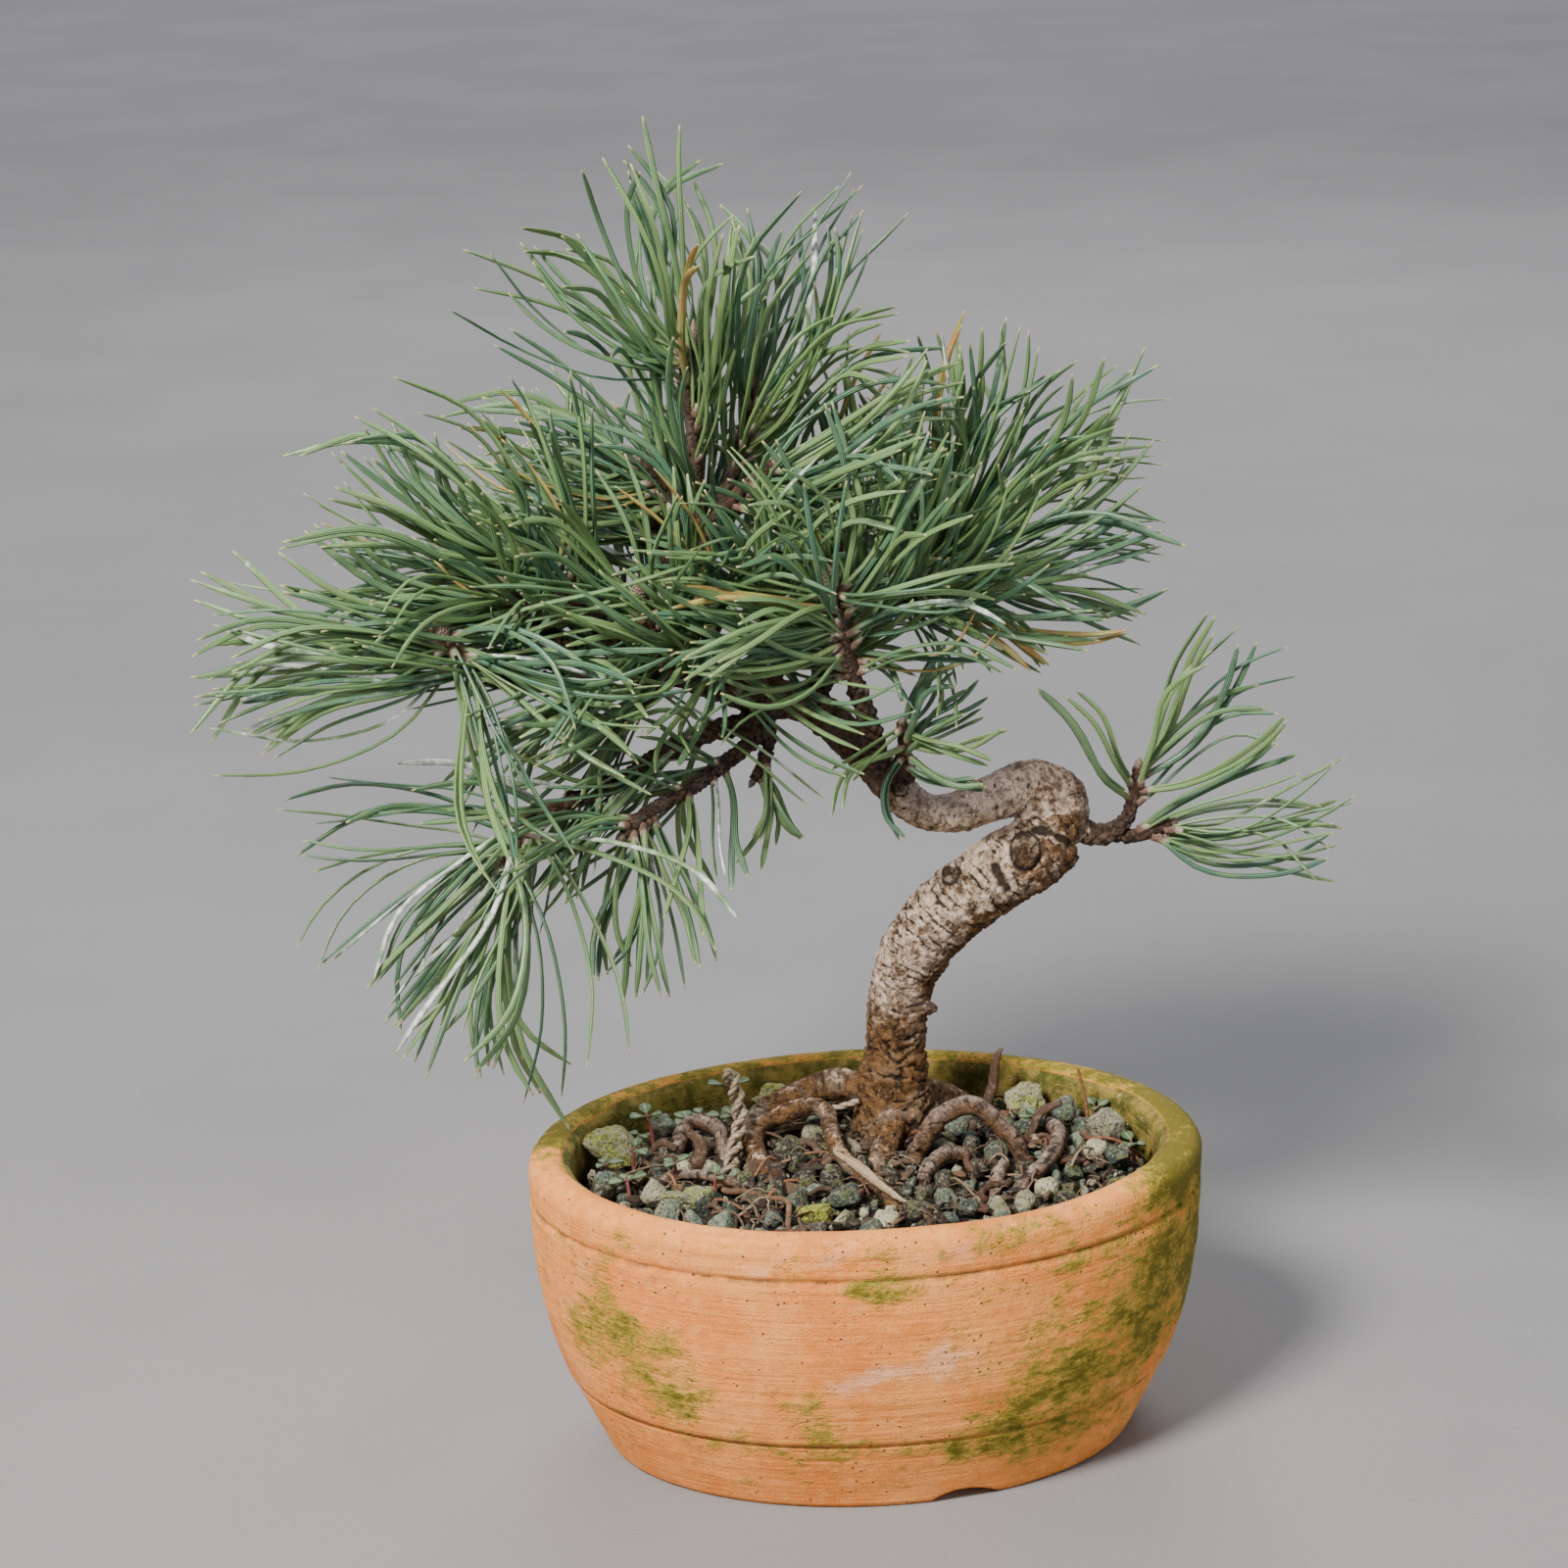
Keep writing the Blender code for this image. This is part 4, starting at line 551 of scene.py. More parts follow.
def move_points(data, points):
    data.vertices.foreach_set("co", np.ascontiguousarray(points * MM, np.float32).ravel())
    data.update()


def normals_of(data):
    flat = np.empty(len(data.vertices) * 3, np.float32)
    data.vertex_normals.foreach_get("vector", flat)
    return flat.reshape(-1, 3).astype(float)


def settled(thing):
    """Replaces the object's mesh by what its modifiers make of it, and drops them."""
    graph = bpy.context.evaluated_depsgraph_get()
    data = bpy.data.meshes.new_from_object(thing.evaluated_get(graph))
    thing.modifiers.clear()
    thing.data = data
    data.shade_smooth()
    return data


def place(piece, slot, *nodes):
    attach(piece, "root")
    if nodes:
        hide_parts(*nodes)


def ball(level):
    """The points and faces of a unit ball."""
    mesh = bmesh.new()
    bmesh.ops.create_icosphere(mesh, subdivisions=level, radius=1)
    points = np.array([vert.co for vert in mesh.verts])
    faces = np.array([[vert.index for vert in face.verts] for face in mesh.faces])
    mesh.free()
    return points, faces


# ---- materials


class Look:
    """A material whose nodes are added one call at a time. Sizes are in mm on the object."""

    def __init__(self, name):
        self.material = bpy.data.materials.new(name)
        self.material.use_nodes = True
        self.tree = self.material.node_tree
        self.shader = self.tree.nodes["Principled BSDF"]
        self.ground = self.vector("SCALE", self.node("ShaderNodeTexCoord").outputs["Object"], scale=1 / MM)

    def node(self, kind, **settings):
        made = self.tree.nodes.new(kind)
        for key, value in settings.items():
            setattr(made, key, value)
        return made

    def put(self, socket, value):
        if isinstance(value, bpy.types.NodeSocket):
            self.tree.links.new(value, socket)
        elif isinstance(value, tuple) and len(value) == 3 and socket.type == "RGBA":
            socket.default_value = (*value, 1)
        else:
            socket.default_value = value

    def vector(self, operation, value, other=None, scale=None):
        made = self.node("ShaderNodeVectorMath", operation=operation)
        self.put(made.inputs[0], value)
        if other is not None:
            self.put(made.inputs[1], other)
        if scale is not None:
            self.put(made.inputs["Scale"], scale)
        return made.outputs["Vector"]

    def maths(self, operation, first, second=0.0):
        made = self.node("ShaderNodeMath", operation=operation)
        self.put(made.inputs[0], first)
        self.put(made.inputs[1], second)
        return made.outputs["Value"]

    def plus(self, first, second):
        return self.maths("ADD", first, second)

    def minus(self, first, second):
        return self.maths("SUBTRACT", first, second)

    def times(self, first, second):
        return self.maths("MULTIPLY", first, second)

    def field(self, name):
        made = self.node("ShaderNodeAttribute", attribute_name=name)
        return made.outputs["Fac"]

    def noise(self, size, detail=3.0, roughness=0.55, stretch=None):
        """Noise from 0 to 1. Stretch is how many times longer it is along x, y and z."""
        made = self.node("ShaderNodeTexNoise")
        self.put(made.inputs["Vector"], self.stretched(stretch))
        self.put(made.inputs["Scale"], 1 / size)
        self.put(made.inputs["Detail"], detail)
        self.put(made.inputs["Roughness"], roughness)
        return made.outputs["Fac"]

    def stretched(self, stretch):
        if stretch is None:
            return self.ground
        return self.vector("DIVIDE", self.ground, stretch)

    def cells(self, size):
        """The distance to the nearest of scattered seeds, in units of size."""
        made = self.node("ShaderNodeTexVoronoi", feature="F1")
        self.put(made.inputs["Vector"], self.ground)
        self.put(made.inputs["Scale"], 1 / size)
        return made.outputs["Distance"]

    def ease(self, value, low, high, start=0.0, end=1.0):
        """From start at low, or below, to end at high, or above, and smooth between."""
        made = self.node("ShaderNodeMapRange", interpolation_type="SMOOTHSTEP")
        names = ("Value", "From Min", "From Max", "To Min", "To Max")
        for name, given in zip(names, (value, low, high, start, end)):
            self.put(made.inputs[name], given)
        return made.outputs["Result"]

    def mix(self, share, first, second):
        made = self.node("ShaderNodeMix", data_type="RGBA")
        self.put(made.inputs[0], share)
        self.put(made.inputs[6], first)
        self.put(made.inputs[7], second)
        return made.outputs[2]

    def finish(self, colour, roughness, height=None, depth=0.1, specular=0.3):
        """Depth is how many mm a height of 1 stands up."""
        self.put(self.shader.inputs["Base Color"], colour)
        self.put(self.shader.inputs["Roughness"], roughness)
        self.shader.inputs["Specular IOR Level"].default_value = specular
        if height is not None:
            bump = self.node("ShaderNodeBump")
            self.put(bump.inputs["Height"], height)
            bump.inputs["Distance"].default_value = depth * MM
            self.put(self.shader.inputs["Normal"], bump.outputs["Normal"])
        return self.material


def terracotta_look():
    """Fired clay: turning lines, pits, pale salt bloom, and algae where it stays damp."""
    look = Look("terracotta")
    broad = look.noise(24, 4, 0.6)
    fine = look.noise(3.0, 4, 0.62)
    lines = look.noise(1.1, 3, 0.6, stretch=(22, 22, 0.9))
    sand = look.noise(0.55, 3, 0.65)
    clay = look.mix(look.ease(broad, 0.34, 0.68), (0.82, 0.245, 0.042), (0.95, 0.365, 0.085))
    clay = look.mix(look.ease(fine, 0.44, 0.74, 0, 0.4), clay, (0.98, 0.46, 0.15))
    clay = look.mix(look.ease(lines, 0.55, 0.72, 0, 0.30), clay, (0.55, 0.16, 0.030))
    clay = look.mix(look.ease(sand, 0.54, 0.74, 0, 0.35), clay, (1.0, 0.60, 0.27))
    clay = look.mix(look.ease(sand, 0.28, 0.42, 0.35, 0), clay, (0.46, 0.14, 0.03))
    frayed = look.noise(6, 6, 0.8, stretch=(1.8, 1.8, 1))
    chalk = look.plus(look.times(look.field("bloom"), 0.40), frayed)
    clay = look.mix(look.ease(chalk, 0.66, 1.0, 0, 0.60), clay, (0.95, 0.58, 0.40))
    speck = look.cells(2.2)
    pits = look.times(look.ease(speck, 0.09, 0.18, 1, 0), look.ease(look.noise(6, 2), 0.48, 0.6))
    clay = look.mix(look.times(pits, 0.85), clay, (0.12, 0.045, 0.02))
    grain = look.cells(0.8)
    clay = look.mix(look.ease(grain, 0.12, 0.3, 0.45, 0), clay, (0.26, 0.095, 0.035))
    soot = look.ease(look.noise(5, 5, 0.75, stretch=(2.5, 2.5, 1)), 0.58, 0.72, 0, 0.35)
    clay = look.mix(soot, clay, (0.22, 0.10, 0.035))
    dirt = look.times(look.field("dirt"), look.ease(look.noise(5, 4), 0.35, 0.65, 0.1, 0.9))
    clay = look.mix(dirt, clay, (0.16, 0.085, 0.03))
    patch = look.minus(look.noise(8, 6, 0.75, stretch=(1.3, 1.3, 1)), 0.5)
    streak = look.noise(1.8, 4, 0.75, stretch=(2.4, 2.4, 1))
    spread = look.plus(look.times(patch, 2.4), look.times(look.minus(streak, 0.5), 1.7))
    damp = look.plus(look.field("algae"), spread)
    film = look.ease(damp, 0.26, 0.92)
    thick = look.ease(damp, 0.72, 1.20)
    tint = look.ease(look.noise(1.2, 4, 0.75), 0.35, 0.65)
    green = look.mix(tint, (0.42, 0.325, 0.045), (0.20, 0.20, 0.020))
    green = look.mix(thick, green, (0.072, 0.100, 0.005))
    clay = look.mix(look.times(film, 0.9), clay, green)
    inner = look.mix(look.ease(look.noise(9, 5, 0.7), 0.35, 0.62), (0.27, 0.20, 0.040), (0.060, 0.068, 0.010))
    inner = look.mix(look.ease(look.noise(2, 4, 0.75), 0.48, 0.7, 0, 0.7), inner, (0.34, 0.22, 0.085))
    clay = look.mix(look.field("inside"), clay, inner)
    lichen = look.times(look.field("lichen"), look.ease(look.noise(1.2, 3, 0.6), 0.64, 0.74, 0, 0.6))
    clay = look.mix(lichen, clay, (0.62, 0.55, 0.30))
    height = look.plus(look.times(lines, 0.9), look.times(fine, 0.6))
    height = look.plus(height, look.times(sand, 0.7))
    height = look.minus(height, look.times(pits, 1.5))
    height = look.plus(height, look.times(film, look.times(streak, 1.2)))
    return look.finish(clay, look.ease(fine, 0.2, 0.8, 0.78, 0.95), height, 0.45, 0.2)


def soil_look():
    """Dark, crumbly humus with paler grains."""
    look = Look("soil")
    crumb = look.cells(1.6)
    tone = look.noise(3.2, 5, 0.7)
    colour = look.mix(look.ease(tone, 0.35, 0.7), (0.008, 0.006, 0.005), (0.045, 0.032, 0.025))
    colour = look.mix(look.ease(look.noise(9, 3), 0.5, 0.7, 0, 0.6), colour, (0.05, 0.055, 0.03))
    colour = look.mix(look.ease(look.noise(0.8, 2, 0.6), 0.62, 0.75, 0, 0.5), colour, (0.22, 0.18, 0.13))
    height = look.plus(look.times(crumb, -1.2), tone)
    return look.finish(colour, 0.95, height, 0.9, 0.2)


def stone_look():
    """Porous gravel, from pale lava and pumice to blue-green and mossy, by each stone's own numbers."""
    look = Look("stone")
    pores = look.cells(0.9)
    coarse = look.cells(2.3)
    grain = look.noise(1.1, 4, 0.7)
    broad = look.noise(4.5, 3, 0.6)
    tone, green, moss = look.field("tone"), look.field("green"), look.field("moss")
    colour = look.mix(look.ease(tone, 0.0, 0.5), (0.018, 0.012, 0.010), (0.16, 0.135, 0.095))
    colour = look.mix(look.ease(tone, 0.45, 1.0), colour, (0.47, 0.415, 0.265))
    teal = look.mix(look.ease(tone, 0.1, 0.9), (0.022, 0.040, 0.034), (0.17, 0.235, 0.185))
    colour = look.mix(look.times(green, look.ease(broad, 0.25, 0.6, 0.4, 1.0)), colour, teal)
    paler = look.mix(0.5, colour, (0.70, 0.64, 0.46))
    colour = look.mix(look.ease(grain, 0.48, 0.70, 0, 0.75), colour, paler)
    colour = look.mix(look.ease(grain, 0.30, 0.47, 0.8, 0), colour, (0.030, 0.025, 0.018))
    olive = look.ease(look.noise(3.5, 3, 0.7), 0.50, 0.62, 0, 0.45)
    colour = look.mix(olive, colour, (0.17, 0.19, 0.06))
    mossy = look.mix(look.ease(look.noise(0.7, 3, 0.7), 0.35, 0.65), (0.13, 0.15, 0.018), (0.42, 0.43, 0.09))
    cover = look.ease(look.plus(moss, look.minus(look.noise(2.6, 4, 0.7), 0.5)), 0.35, 0.6)
    colour = look.mix(cover, colour, mossy)
    holes = look.ease(pores, 0.08, 0.32, 1, 0)
    colour = look.mix(look.times(holes, 0.55), colour, (0.07, 0.055, 0.04))
    height = look.minus(look.times(grain, 1.4), look.times(holes, 1.0))
    height = look.minus(height, look.ease(coarse, 0.1, 0.3, 0.8, 0))
    return look.finish(colour, 0.9, height, 0.6, 0.25)


def bark_look():
    """Bark from silver rings on the trunk to brown plates at its foot and dark scales on the twigs."""
    look = Look("bark")
    fine = look.noise(0.7, 4, 0.75)
    middle = look.noise(2.2, 4, 0.7)
    broad = look.noise(8, 3, 0.6)
    dent = look.field("dent")
    brown = look.mix(look.ease(middle, 0.36, 0.62), (0.042, 0.020, 0.008), (0.175, 0.083, 0.026))
    brown = look.mix(look.ease(fine, 0.52, 0.74, 0, 0.7), brown, (0.44, 0.31, 0.18))
    brown = look.mix(look.ease(broad, 0.48, 0.62, 0, 0.35), brown, (0.26, 0.21, 0.16))
    plate = look.times(look.field("plate"), look.ease(broad, 0.35, 0.6, 0.0, 0.35))
    brown = look.mix(plate, brown, (0.25, 0.125, 0.040))
    silver = look.mix(look.ease(middle, 0.34, 0.66), (0.22, 0.14, 0.080), (0.60, 0.47, 0.36))
    silver = look.mix(look.ease(fine, 0.52, 0.76, 0, 0.75), silver, (0.84, 0.74, 0.64))
    silver = look.mix(look.ease(look.noise(1.3, 4, 0.75), 0.32, 0.46, 0.85, 0), silver, (0.075, 0.040, 0.022))
    # The pale field carries the bark's own silver and, on the side facing the key light, a painted highlight.
    share = look.plus(look.field("pale"), look.times(look.minus(middle, 0.5), 1.9))
    share = look.plus(share, look.times(look.minus(broad, 0.5), 1.0))
    colour = look.mix(look.ease(share, 0.20, 0.78), brown, silver)
    twig = look.mix(look.ease(middle, 0.35, 0.65), (0.018, 0.011, 0.007), (0.095, 0.052, 0.032))
    twig = look.mix(look.ease(fine, 0.52, 0.74, 0, 0.7), twig, (0.30, 0.20, 0.13))
    twig = look.mix(look.ease(broad, 0.5, 0.65, 0, 0.4), twig, (0.15, 0.12, 0.10))
    colour = look.mix(look.field("twig"), colour, twig)
    # Plum-grey: the limb's own bark colour, painted only on its up-facing side as top light.
    plum = look.mix(look.ease(fine, 0.4, 0.7), (0.25, 0.180, 0.160), (0.60, 0.50, 0.46))
    limb = look.times(look.field("limb"), look.ease(middle, 0.35, 0.65, 0.3, 0.85))
    colour = look.mix(limb, colour, plum)
    # Gold: a painted highlight on the limb's underside.
    gold = look.times(look.field("gold"), look.ease(look.noise(1.3, 3, 0.7), 0.50, 0.64))
    colour = look.mix(gold, colour, (0.60, 0.42, 0.20))
    heart = look.mix(look.ease(fine, 0.4, 0.65), (0.035, 0.018, 0.008), (0.20, 0.105, 0.035))
    colour = look.mix(look.field("heart"), colour, heart)
    # Near black where dent is high: painted shade in the cracks, lines and grooves, and the scar rims' and
    # rings' own dark.
    colour = look.mix(look.ease(dent, 0.10, 0.80, 0, 0.95), colour, (0.016, 0.009, 0.005))
    height = look.plus(look.times(fine, 0.9), look.times(middle, 0.7))
    return look.finish(colour, look.ease(fine, 0.2, 0.8, 0.75, 0.95), height, 0.55, 0.25)


def needle_look():
    """Waxy green needles with pale lines along them and straw-coloured tips. Some are bleached or yellow."""
    look = Look("needle")
    across, along, tone = look.field("across"), look.field("along"), look.field("tone")
    deep = look.mix(look.ease(tone, 0.0, 1.0), (0.030, 0.095, 0.052), (0.100, 0.195, 0.055))
    light = look.mix(look.ease(tone, 0.0, 1.0), (0.16, 0.31, 0.20), (0.34, 0.47, 0.21))
    stripes = look.maths("COSINE", look.times(across, 9.5))
    dots = look.noise(0.35, 2, 0.6)
    lines = look.times(look.ease(stripes, 0.0, 0.9), look.ease(dots, 0.3, 0.6, 0.5, 1.0))
    colour = look.mix(look.times(lines, 0.85), deep, light)
    colour = look.mix(look.ease(look.noise(7, 3), 0.4, 0.7, 0, 0.4), colour, (0.18, 0.26, 0.08))
    colour = look.mix(look.ease(along, 0.0, 0.14, 0.6, 0), colour, (0.32, 0.36, 0.12))
    gold = look.mix(look.ease(look.noise(4, 3), 0.4, 0.6), (0.46, 0.40, 0.10), (0.50, 0.24, 0.06))
    colour = look.mix(look.field("gold"), colour, gold)
    chalk = look.mix(look.ease(look.noise(2.5, 3, 0.7), 0.4, 0.6), (0.36, 0.42, 0.34), (0.80, 0.82, 0.76))
    bleach = look.plus(look.field("bleach"), look.minus(look.noise(9, 3, 0.7), 0.5))
    bleach = look.ease(bleach, 0.45, 0.75)
    colour = look.mix(bleach, colour, chalk)
    colour = look.mix(look.ease(along, 0.965, 0.99), colour, (0.46, 0.44, 0.20))
    height = look.plus(lines, look.times(dots, 0.3))
    return look.finish(colour, look.ease(dots, 0.3, 0.7, 0.30, 0.44), height, 0.08, 0.5)


def scale_look():
    """Bud scales and the papery sheaths at the needles' feet: purple-brown with pale resin edges."""
    look = Look("scale")
    fine = look.noise(0.5, 3, 0.7)
    colour = look.mix(look.ease(fine, 0.35, 0.7), (0.085, 0.045, 0.032), (0.24, 0.145, 0.095))
    colour = look.mix(look.ease(look.field("edge"), 0.55, 1.0, 0, 0.75), colour, (0.50, 0.42, 0.36))
    return look.finish(colour, 0.7, fine, 0.15, 0.3)


def twine_look():
    """Two-ply twine: straw-coloured fibres, with painted shade where the plies meet."""
    look = Look("twine")
    fibre = look.noise(0.5, 4, 0.7, stretch=(1, 1, 1.8))
    colour = look.mix(look.ease(fibre, 0.3, 0.7), (0.22, 0.145, 0.09), (0.62, 0.50, 0.36))
    colour = look.mix(look.ease(look.noise(6, 3), 0.45, 0.7, 0, 0.5), colour, (0.20, 0.16, 0.11))
    # Painted shade in the crease where the plies meet.
    colour = look.mix(look.ease(look.field("ply"), 0.0, 0.6, 0.75, 0), colour, (0.10, 0.065, 0.04))
    return look.finish(colour, 0.85, fibre, 0.25, 0.2)


def leaf_look():
    """Small grey-green leaves on reddish stems."""
    look = Look("leaf")
    blotch = look.noise(1.8, 4, 0.65)
    colour = look.mix(look.ease(blotch, 0.35, 0.7), (0.040, 0.080, 0.028), (0.115, 0.165, 0.070))
    colour = look.mix(look.ease(look.field("rib"), 0.75, 1.0, 0, 0.6), colour, (0.33, 0.36, 0.22))
    colour = look.mix(look.field("stem"), colour, (0.20, 0.055, 0.045))
    return look.finish(colour, 0.5, blotch, 0.25, 0.35)


def litter_look():
    """Dead needles, bark flakes, splinters and rootlets, by each one's own numbers."""
    look = Look("litter")
    fine = look.noise(0.6, 4, 0.7)
    streak = look.noise(1.6, 3, 0.6)
    tone, red = look.field("tone"), look.field("red")
    colour = look.mix(look.ease(tone, 0.0, 0.5), (0.020, 0.013, 0.011), (0.13, 0.080, 0.048))
    colour = look.mix(look.ease(tone, 0.5, 1.0), colour, (0.46, 0.34, 0.21))
    colour = look.mix(red, colour, (0.30, 0.095, 0.035))
    colour = look.mix(look.ease(fine, 0.3, 0.55, 0.5, 0), colour, (0.03, 0.018, 0.012))
    colour = look.mix(look.ease(streak, 0.5, 0.75, 0, 0.3), colour, (0.42, 0.33, 0.24))
    return look.finish(colour, 0.85, fine, 0.25, 0.25)


def screen_look():
    """Scuffed black plastic."""
    look = Look("screen")
    scuff = look.noise(1.5, 3, 0.6)
    colour = look.mix(look.ease(scuff, 0.4, 0.7), (0.012, 0.013, 0.012), (0.05, 0.05, 0.045))
    return look.finish(colour, look.ease(scuff, 0.3, 0.7, 0.4, 0.6), scuff, 0.08, 0.4)


def floor_look():
    """A plain, pale, slightly cloudy grey."""
    look = Look("floor")
    cloud = look.noise(160, 3)
    grain = look.noise(1.4, 3, 0.6)
    colour = look.mix(look.ease(cloud, 0.3, 0.7), (0.238, 0.234, 0.237), (0.265, 0.260, 0.263))
    colour = look.mix(look.ease(grain, 0.4, 0.7, 0, 0.2), colour, (0.215, 0.211, 0.214))
    return look.finish(colour, 0.85, grain, 0.12, 0.2)


# ---- the pot


def oval(half_length, height):
    """The half length, half width and height of a ring of the pot or the soil."""
    half_width = POT_LIP_HALF[1] - (POT_LIP_HALF[0] - half_length) * POT_SQUEEZE
    return half_length, max(half_width, half_length * CROWN_SHAPE), height


def ring_points(rings, sides):
    around = circle(sides)
    return np.vstack([np.column_stack([around * (a, b), np.full(sides, z)]) for a, b, z in rings])


def pot_cutters():
    """Two drain holes, and the channel under the base that leads from each to the edge."""
    radius = (NOTCH_WIDTH ** 2 / 4 + NOTCH_HEIGHT ** 2) / (2 * NOTCH_HEIGHT)
    for side in (1, -1):
        line = np.array([(side * DRAIN_X, 0, -20), (side * DRAIN_X, 0, 20)], float)
        yield tube(line, DRAIN_RADIUS, circle(48))
        mouth = (side * NOTCH_MOUTH[0], side * NOTCH_MOUTH[1], NOTCH_HEIGHT - radius)
        line = np.array([(side * DRAIN_X, 0, NOTCH_HEIGHT - radius), mouth], float)
        yield tube(line, radius, circle(96))


def pot_field(points, zones):
    """How strongly the zones reach each point, seen from the front. Noise frays their outlines."""
    frayed = np.stack([6 * rough(points, 15, 3, 13), 4.5 * rough(points, 12, 3, 14)], axis=1)
    flat = points[:, [0, 2]] + frayed
    total = np.zeros(len(points))
    for x0, z0, x1, z1, reach, strength in zones:
        near = away_from_line(flat, (x0, z0), (x1, z1))
        total = np.maximum(total, strength * np.exp(-(near / reach) ** 2))
    return total


def thrown(points):
    """The pot's points, out of round and with turning lines, as a pot leaves the wheel."""
    outward = unit_rows(points / (POT_LIP_HALF[0] ** 2, POT_LIP_HALF[1] ** 2, math.inf))
    flat = points * (1, 1, 0)
    lines = 0.09 * noise(points * (0.02, 0.02, 1), 1.1, 3) + 0.10 * noise(points * (0.03, 0.03, 1), 3.2, 4)
    moved = 0.45 * noise(flat + points * (0, 0, 0.6), 46, 1) + 0.12 * rough(points, 9, 2, 2) + lines
    moved += 0.035 * noise(points, 1.3, 5)
    moved *= ease(points[:, 2], 0.3, 5)
    points = points + outward * moved[:, None]
    lip = ease(points[:, 2], 74, 79)
    points[:, 2] += lip * (0.45 * noise(flat, 34, 6) + 0.10 * noise(flat, 6, 7))
    return points


def make_pot():
    """The pot: one wall round the outside, over the lip and down the inside, then the holes cut out of it."""
    outside = curve([(a, 0, z) for a, z in POT_OUTSIDE], 0.75)
    inner_top = curve([(a, 0, z) for a, z in POT_INSIDE[:5]], 0.9)
    inner_low = curve([(a, 0, z) for a, z in POT_INSIDE[4:]], 4.0)
    rings = [oval(a, z) for a, _, z in np.vstack([outside, inner_top, inner_low[1:]])]
    middles = np.array([(0, 0, rings[0][2]), (0, 0, rings[-1][2])], float)
    points = np.vstack([thrown(ring_points(rings, POT_SIDES)), middles])
    faces = face_list(tube_faces(len(rings), POT_SIDES))
    pot = make("pot_clay", points, faces, [terracotta_look()])
    for number, (cut_points, cut_faces) in enumerate(pot_cutters()):
        cutter = make(f"cutter_{number}", cut_points, face_list(cut_faces), [])
        change = pot.modifiers.new("cut", "BOOLEAN")
        change.operation = "DIFFERENCE"
        change.solver = "MANIFOLD"
        change.object = cutter
        settled(pot)
        bpy.data.objects.remove(cutter, do_unlink=True)
    weather_pot(pot.data)
    place(pot, "terracotta", "pot")


def weather_pot(data):
    """Where the pot is green, chalky, dirty or crusted, as numbers per point."""
    points, normals = points_of(data), normals_of(data)
    facing_in = (normals[:, :2] * points[:, :2]).sum(axis=1) < 0
    inside = facing_in & (points[:, 2] > 8) & (points[:, 2] < LIP_TOP - 0.9)
    front = ease(-points[:, 1], -25, 5)
    around = noise(points, 30, 11)
    back = ease(points[:, 1], -10, 30) * ease(around + 0.3 * noise(points, 12, 12), -0.15, 0.6) * 0.8
    algae = pot_field(points, ALGAE) * front + back
    right_rim = ease(points[:, 0], 52, 74) * ease(points[:, 2], 66, 74)
    algae = np.maximum(algae, right_rim * 1.25)
    top_back = ease(points[:, 2], 76, 78.5) * ease(points[:, 1], -25, 15) * 0.95
    algae = np.maximum(algae, top_back)
    dirt = sum(np.exp(-((points[:, 2] - height) / 0.7) ** 2) for height in GROOVES)
    dirt = np.maximum(dirt, ease(-points[:, 2], -1.6, 0))
    write_field(data, "algae", algae * ~inside)
    write_field(data, "bloom", pot_field(points, BLOOM) * front)
    write_field(data, "dirt", dirt)
    write_field(data, "inside", inside.astype(float))
    write_field(data, "lichen", ease(points[:, 0], 55, 72) * ease(points[:, 2], 72, 76))


# ---- the wood


def wood_lines():
    """The middle lines that make up the tree, each with how much thicker than given it's made."""
    yield TRUNK, 0
    yield LIMB, 0
    for rows in BRANCHES.values():
        yield rows, 0.12


def middle_samples(lines, step):
    """Samples along middle lines: place, radius, distance along, which line, and the frame there."""
    table = []
    for number, rows in enumerate(lines):
        path = curve(rows, step)
        ways, sides, others = frames(path[:, :3])
        gone = distance_along(path[:, :3])[:, None]
        table.append(np.hstack([path, gone, np.full((len(path), 1), number), ways, sides, others]))
    return np.vstack(table)


BLOCK = 4000  # how many points are compared with the samples at once


def on_wood(points, samples):
    """For each point the sample whose surface is nearest, and the point's place in that sample's frame."""
    chosen = np.empty(len(points), int)
    for start in range(0, len(points), BLOCK):
        part = points[start:start + BLOCK]
        away = np.linalg.norm(part[:, None] - samples[None, :, :3], axis=2) - samples[None, :, 3]
        chosen[start:start + BLOCK] = away.argmin(axis=1)
    near = samples[chosen]
    away = points - near[:, :3]
    along, side, other = (np.einsum("ij,ij->i", away, near[:, first:first + 3]) for first in (6, 9, 12))
    return near[:, 4] + along, side, other, near[:, 3], near[:, 5].astype(int)


def smoothed(points, quads, rounds):
    """Each point pulled a little over half way to the middle of its neighbours, some rounds over."""
    edges = np.vstack([quads[:, [0, 1]], quads[:, [1, 2]], quads[:, [2, 3]], quads[:, [3, 0]]])
    degree = np.bincount(edges[:, 0], minlength=len(points)).astype(float)
    for _ in range(rounds):
        ends = points[edges[:, 1]].T
        pulled = np.stack([np.bincount(edges[:, 0], row, len(points)) for row in ends], axis=1)
        points = points * 0.45 + 0.55 * pulled / degree[:, None]
    return points


def skinned(shape, voxel, rounds):
    """One skin over overlapping tubes, with its joins eased."""
    rough_piece = shape.build("rough_wood")
    change = rough_piece.modifiers.new("skin", "REMESH")
    change.mode = "VOXEL"
    change.voxel_size = voxel * MM
    data = settled(rough_piece)
    bpy.data.objects.remove(rough_piece, do_unlink=True)
    corners = np.empty(len(data.loops), np.int32)
    data.loops.foreach_get("vertex_index", corners)
    quads = corners.reshape(-1, 4)
    move_points(data, smoothed(points_of(data), quads, rounds))
    return data


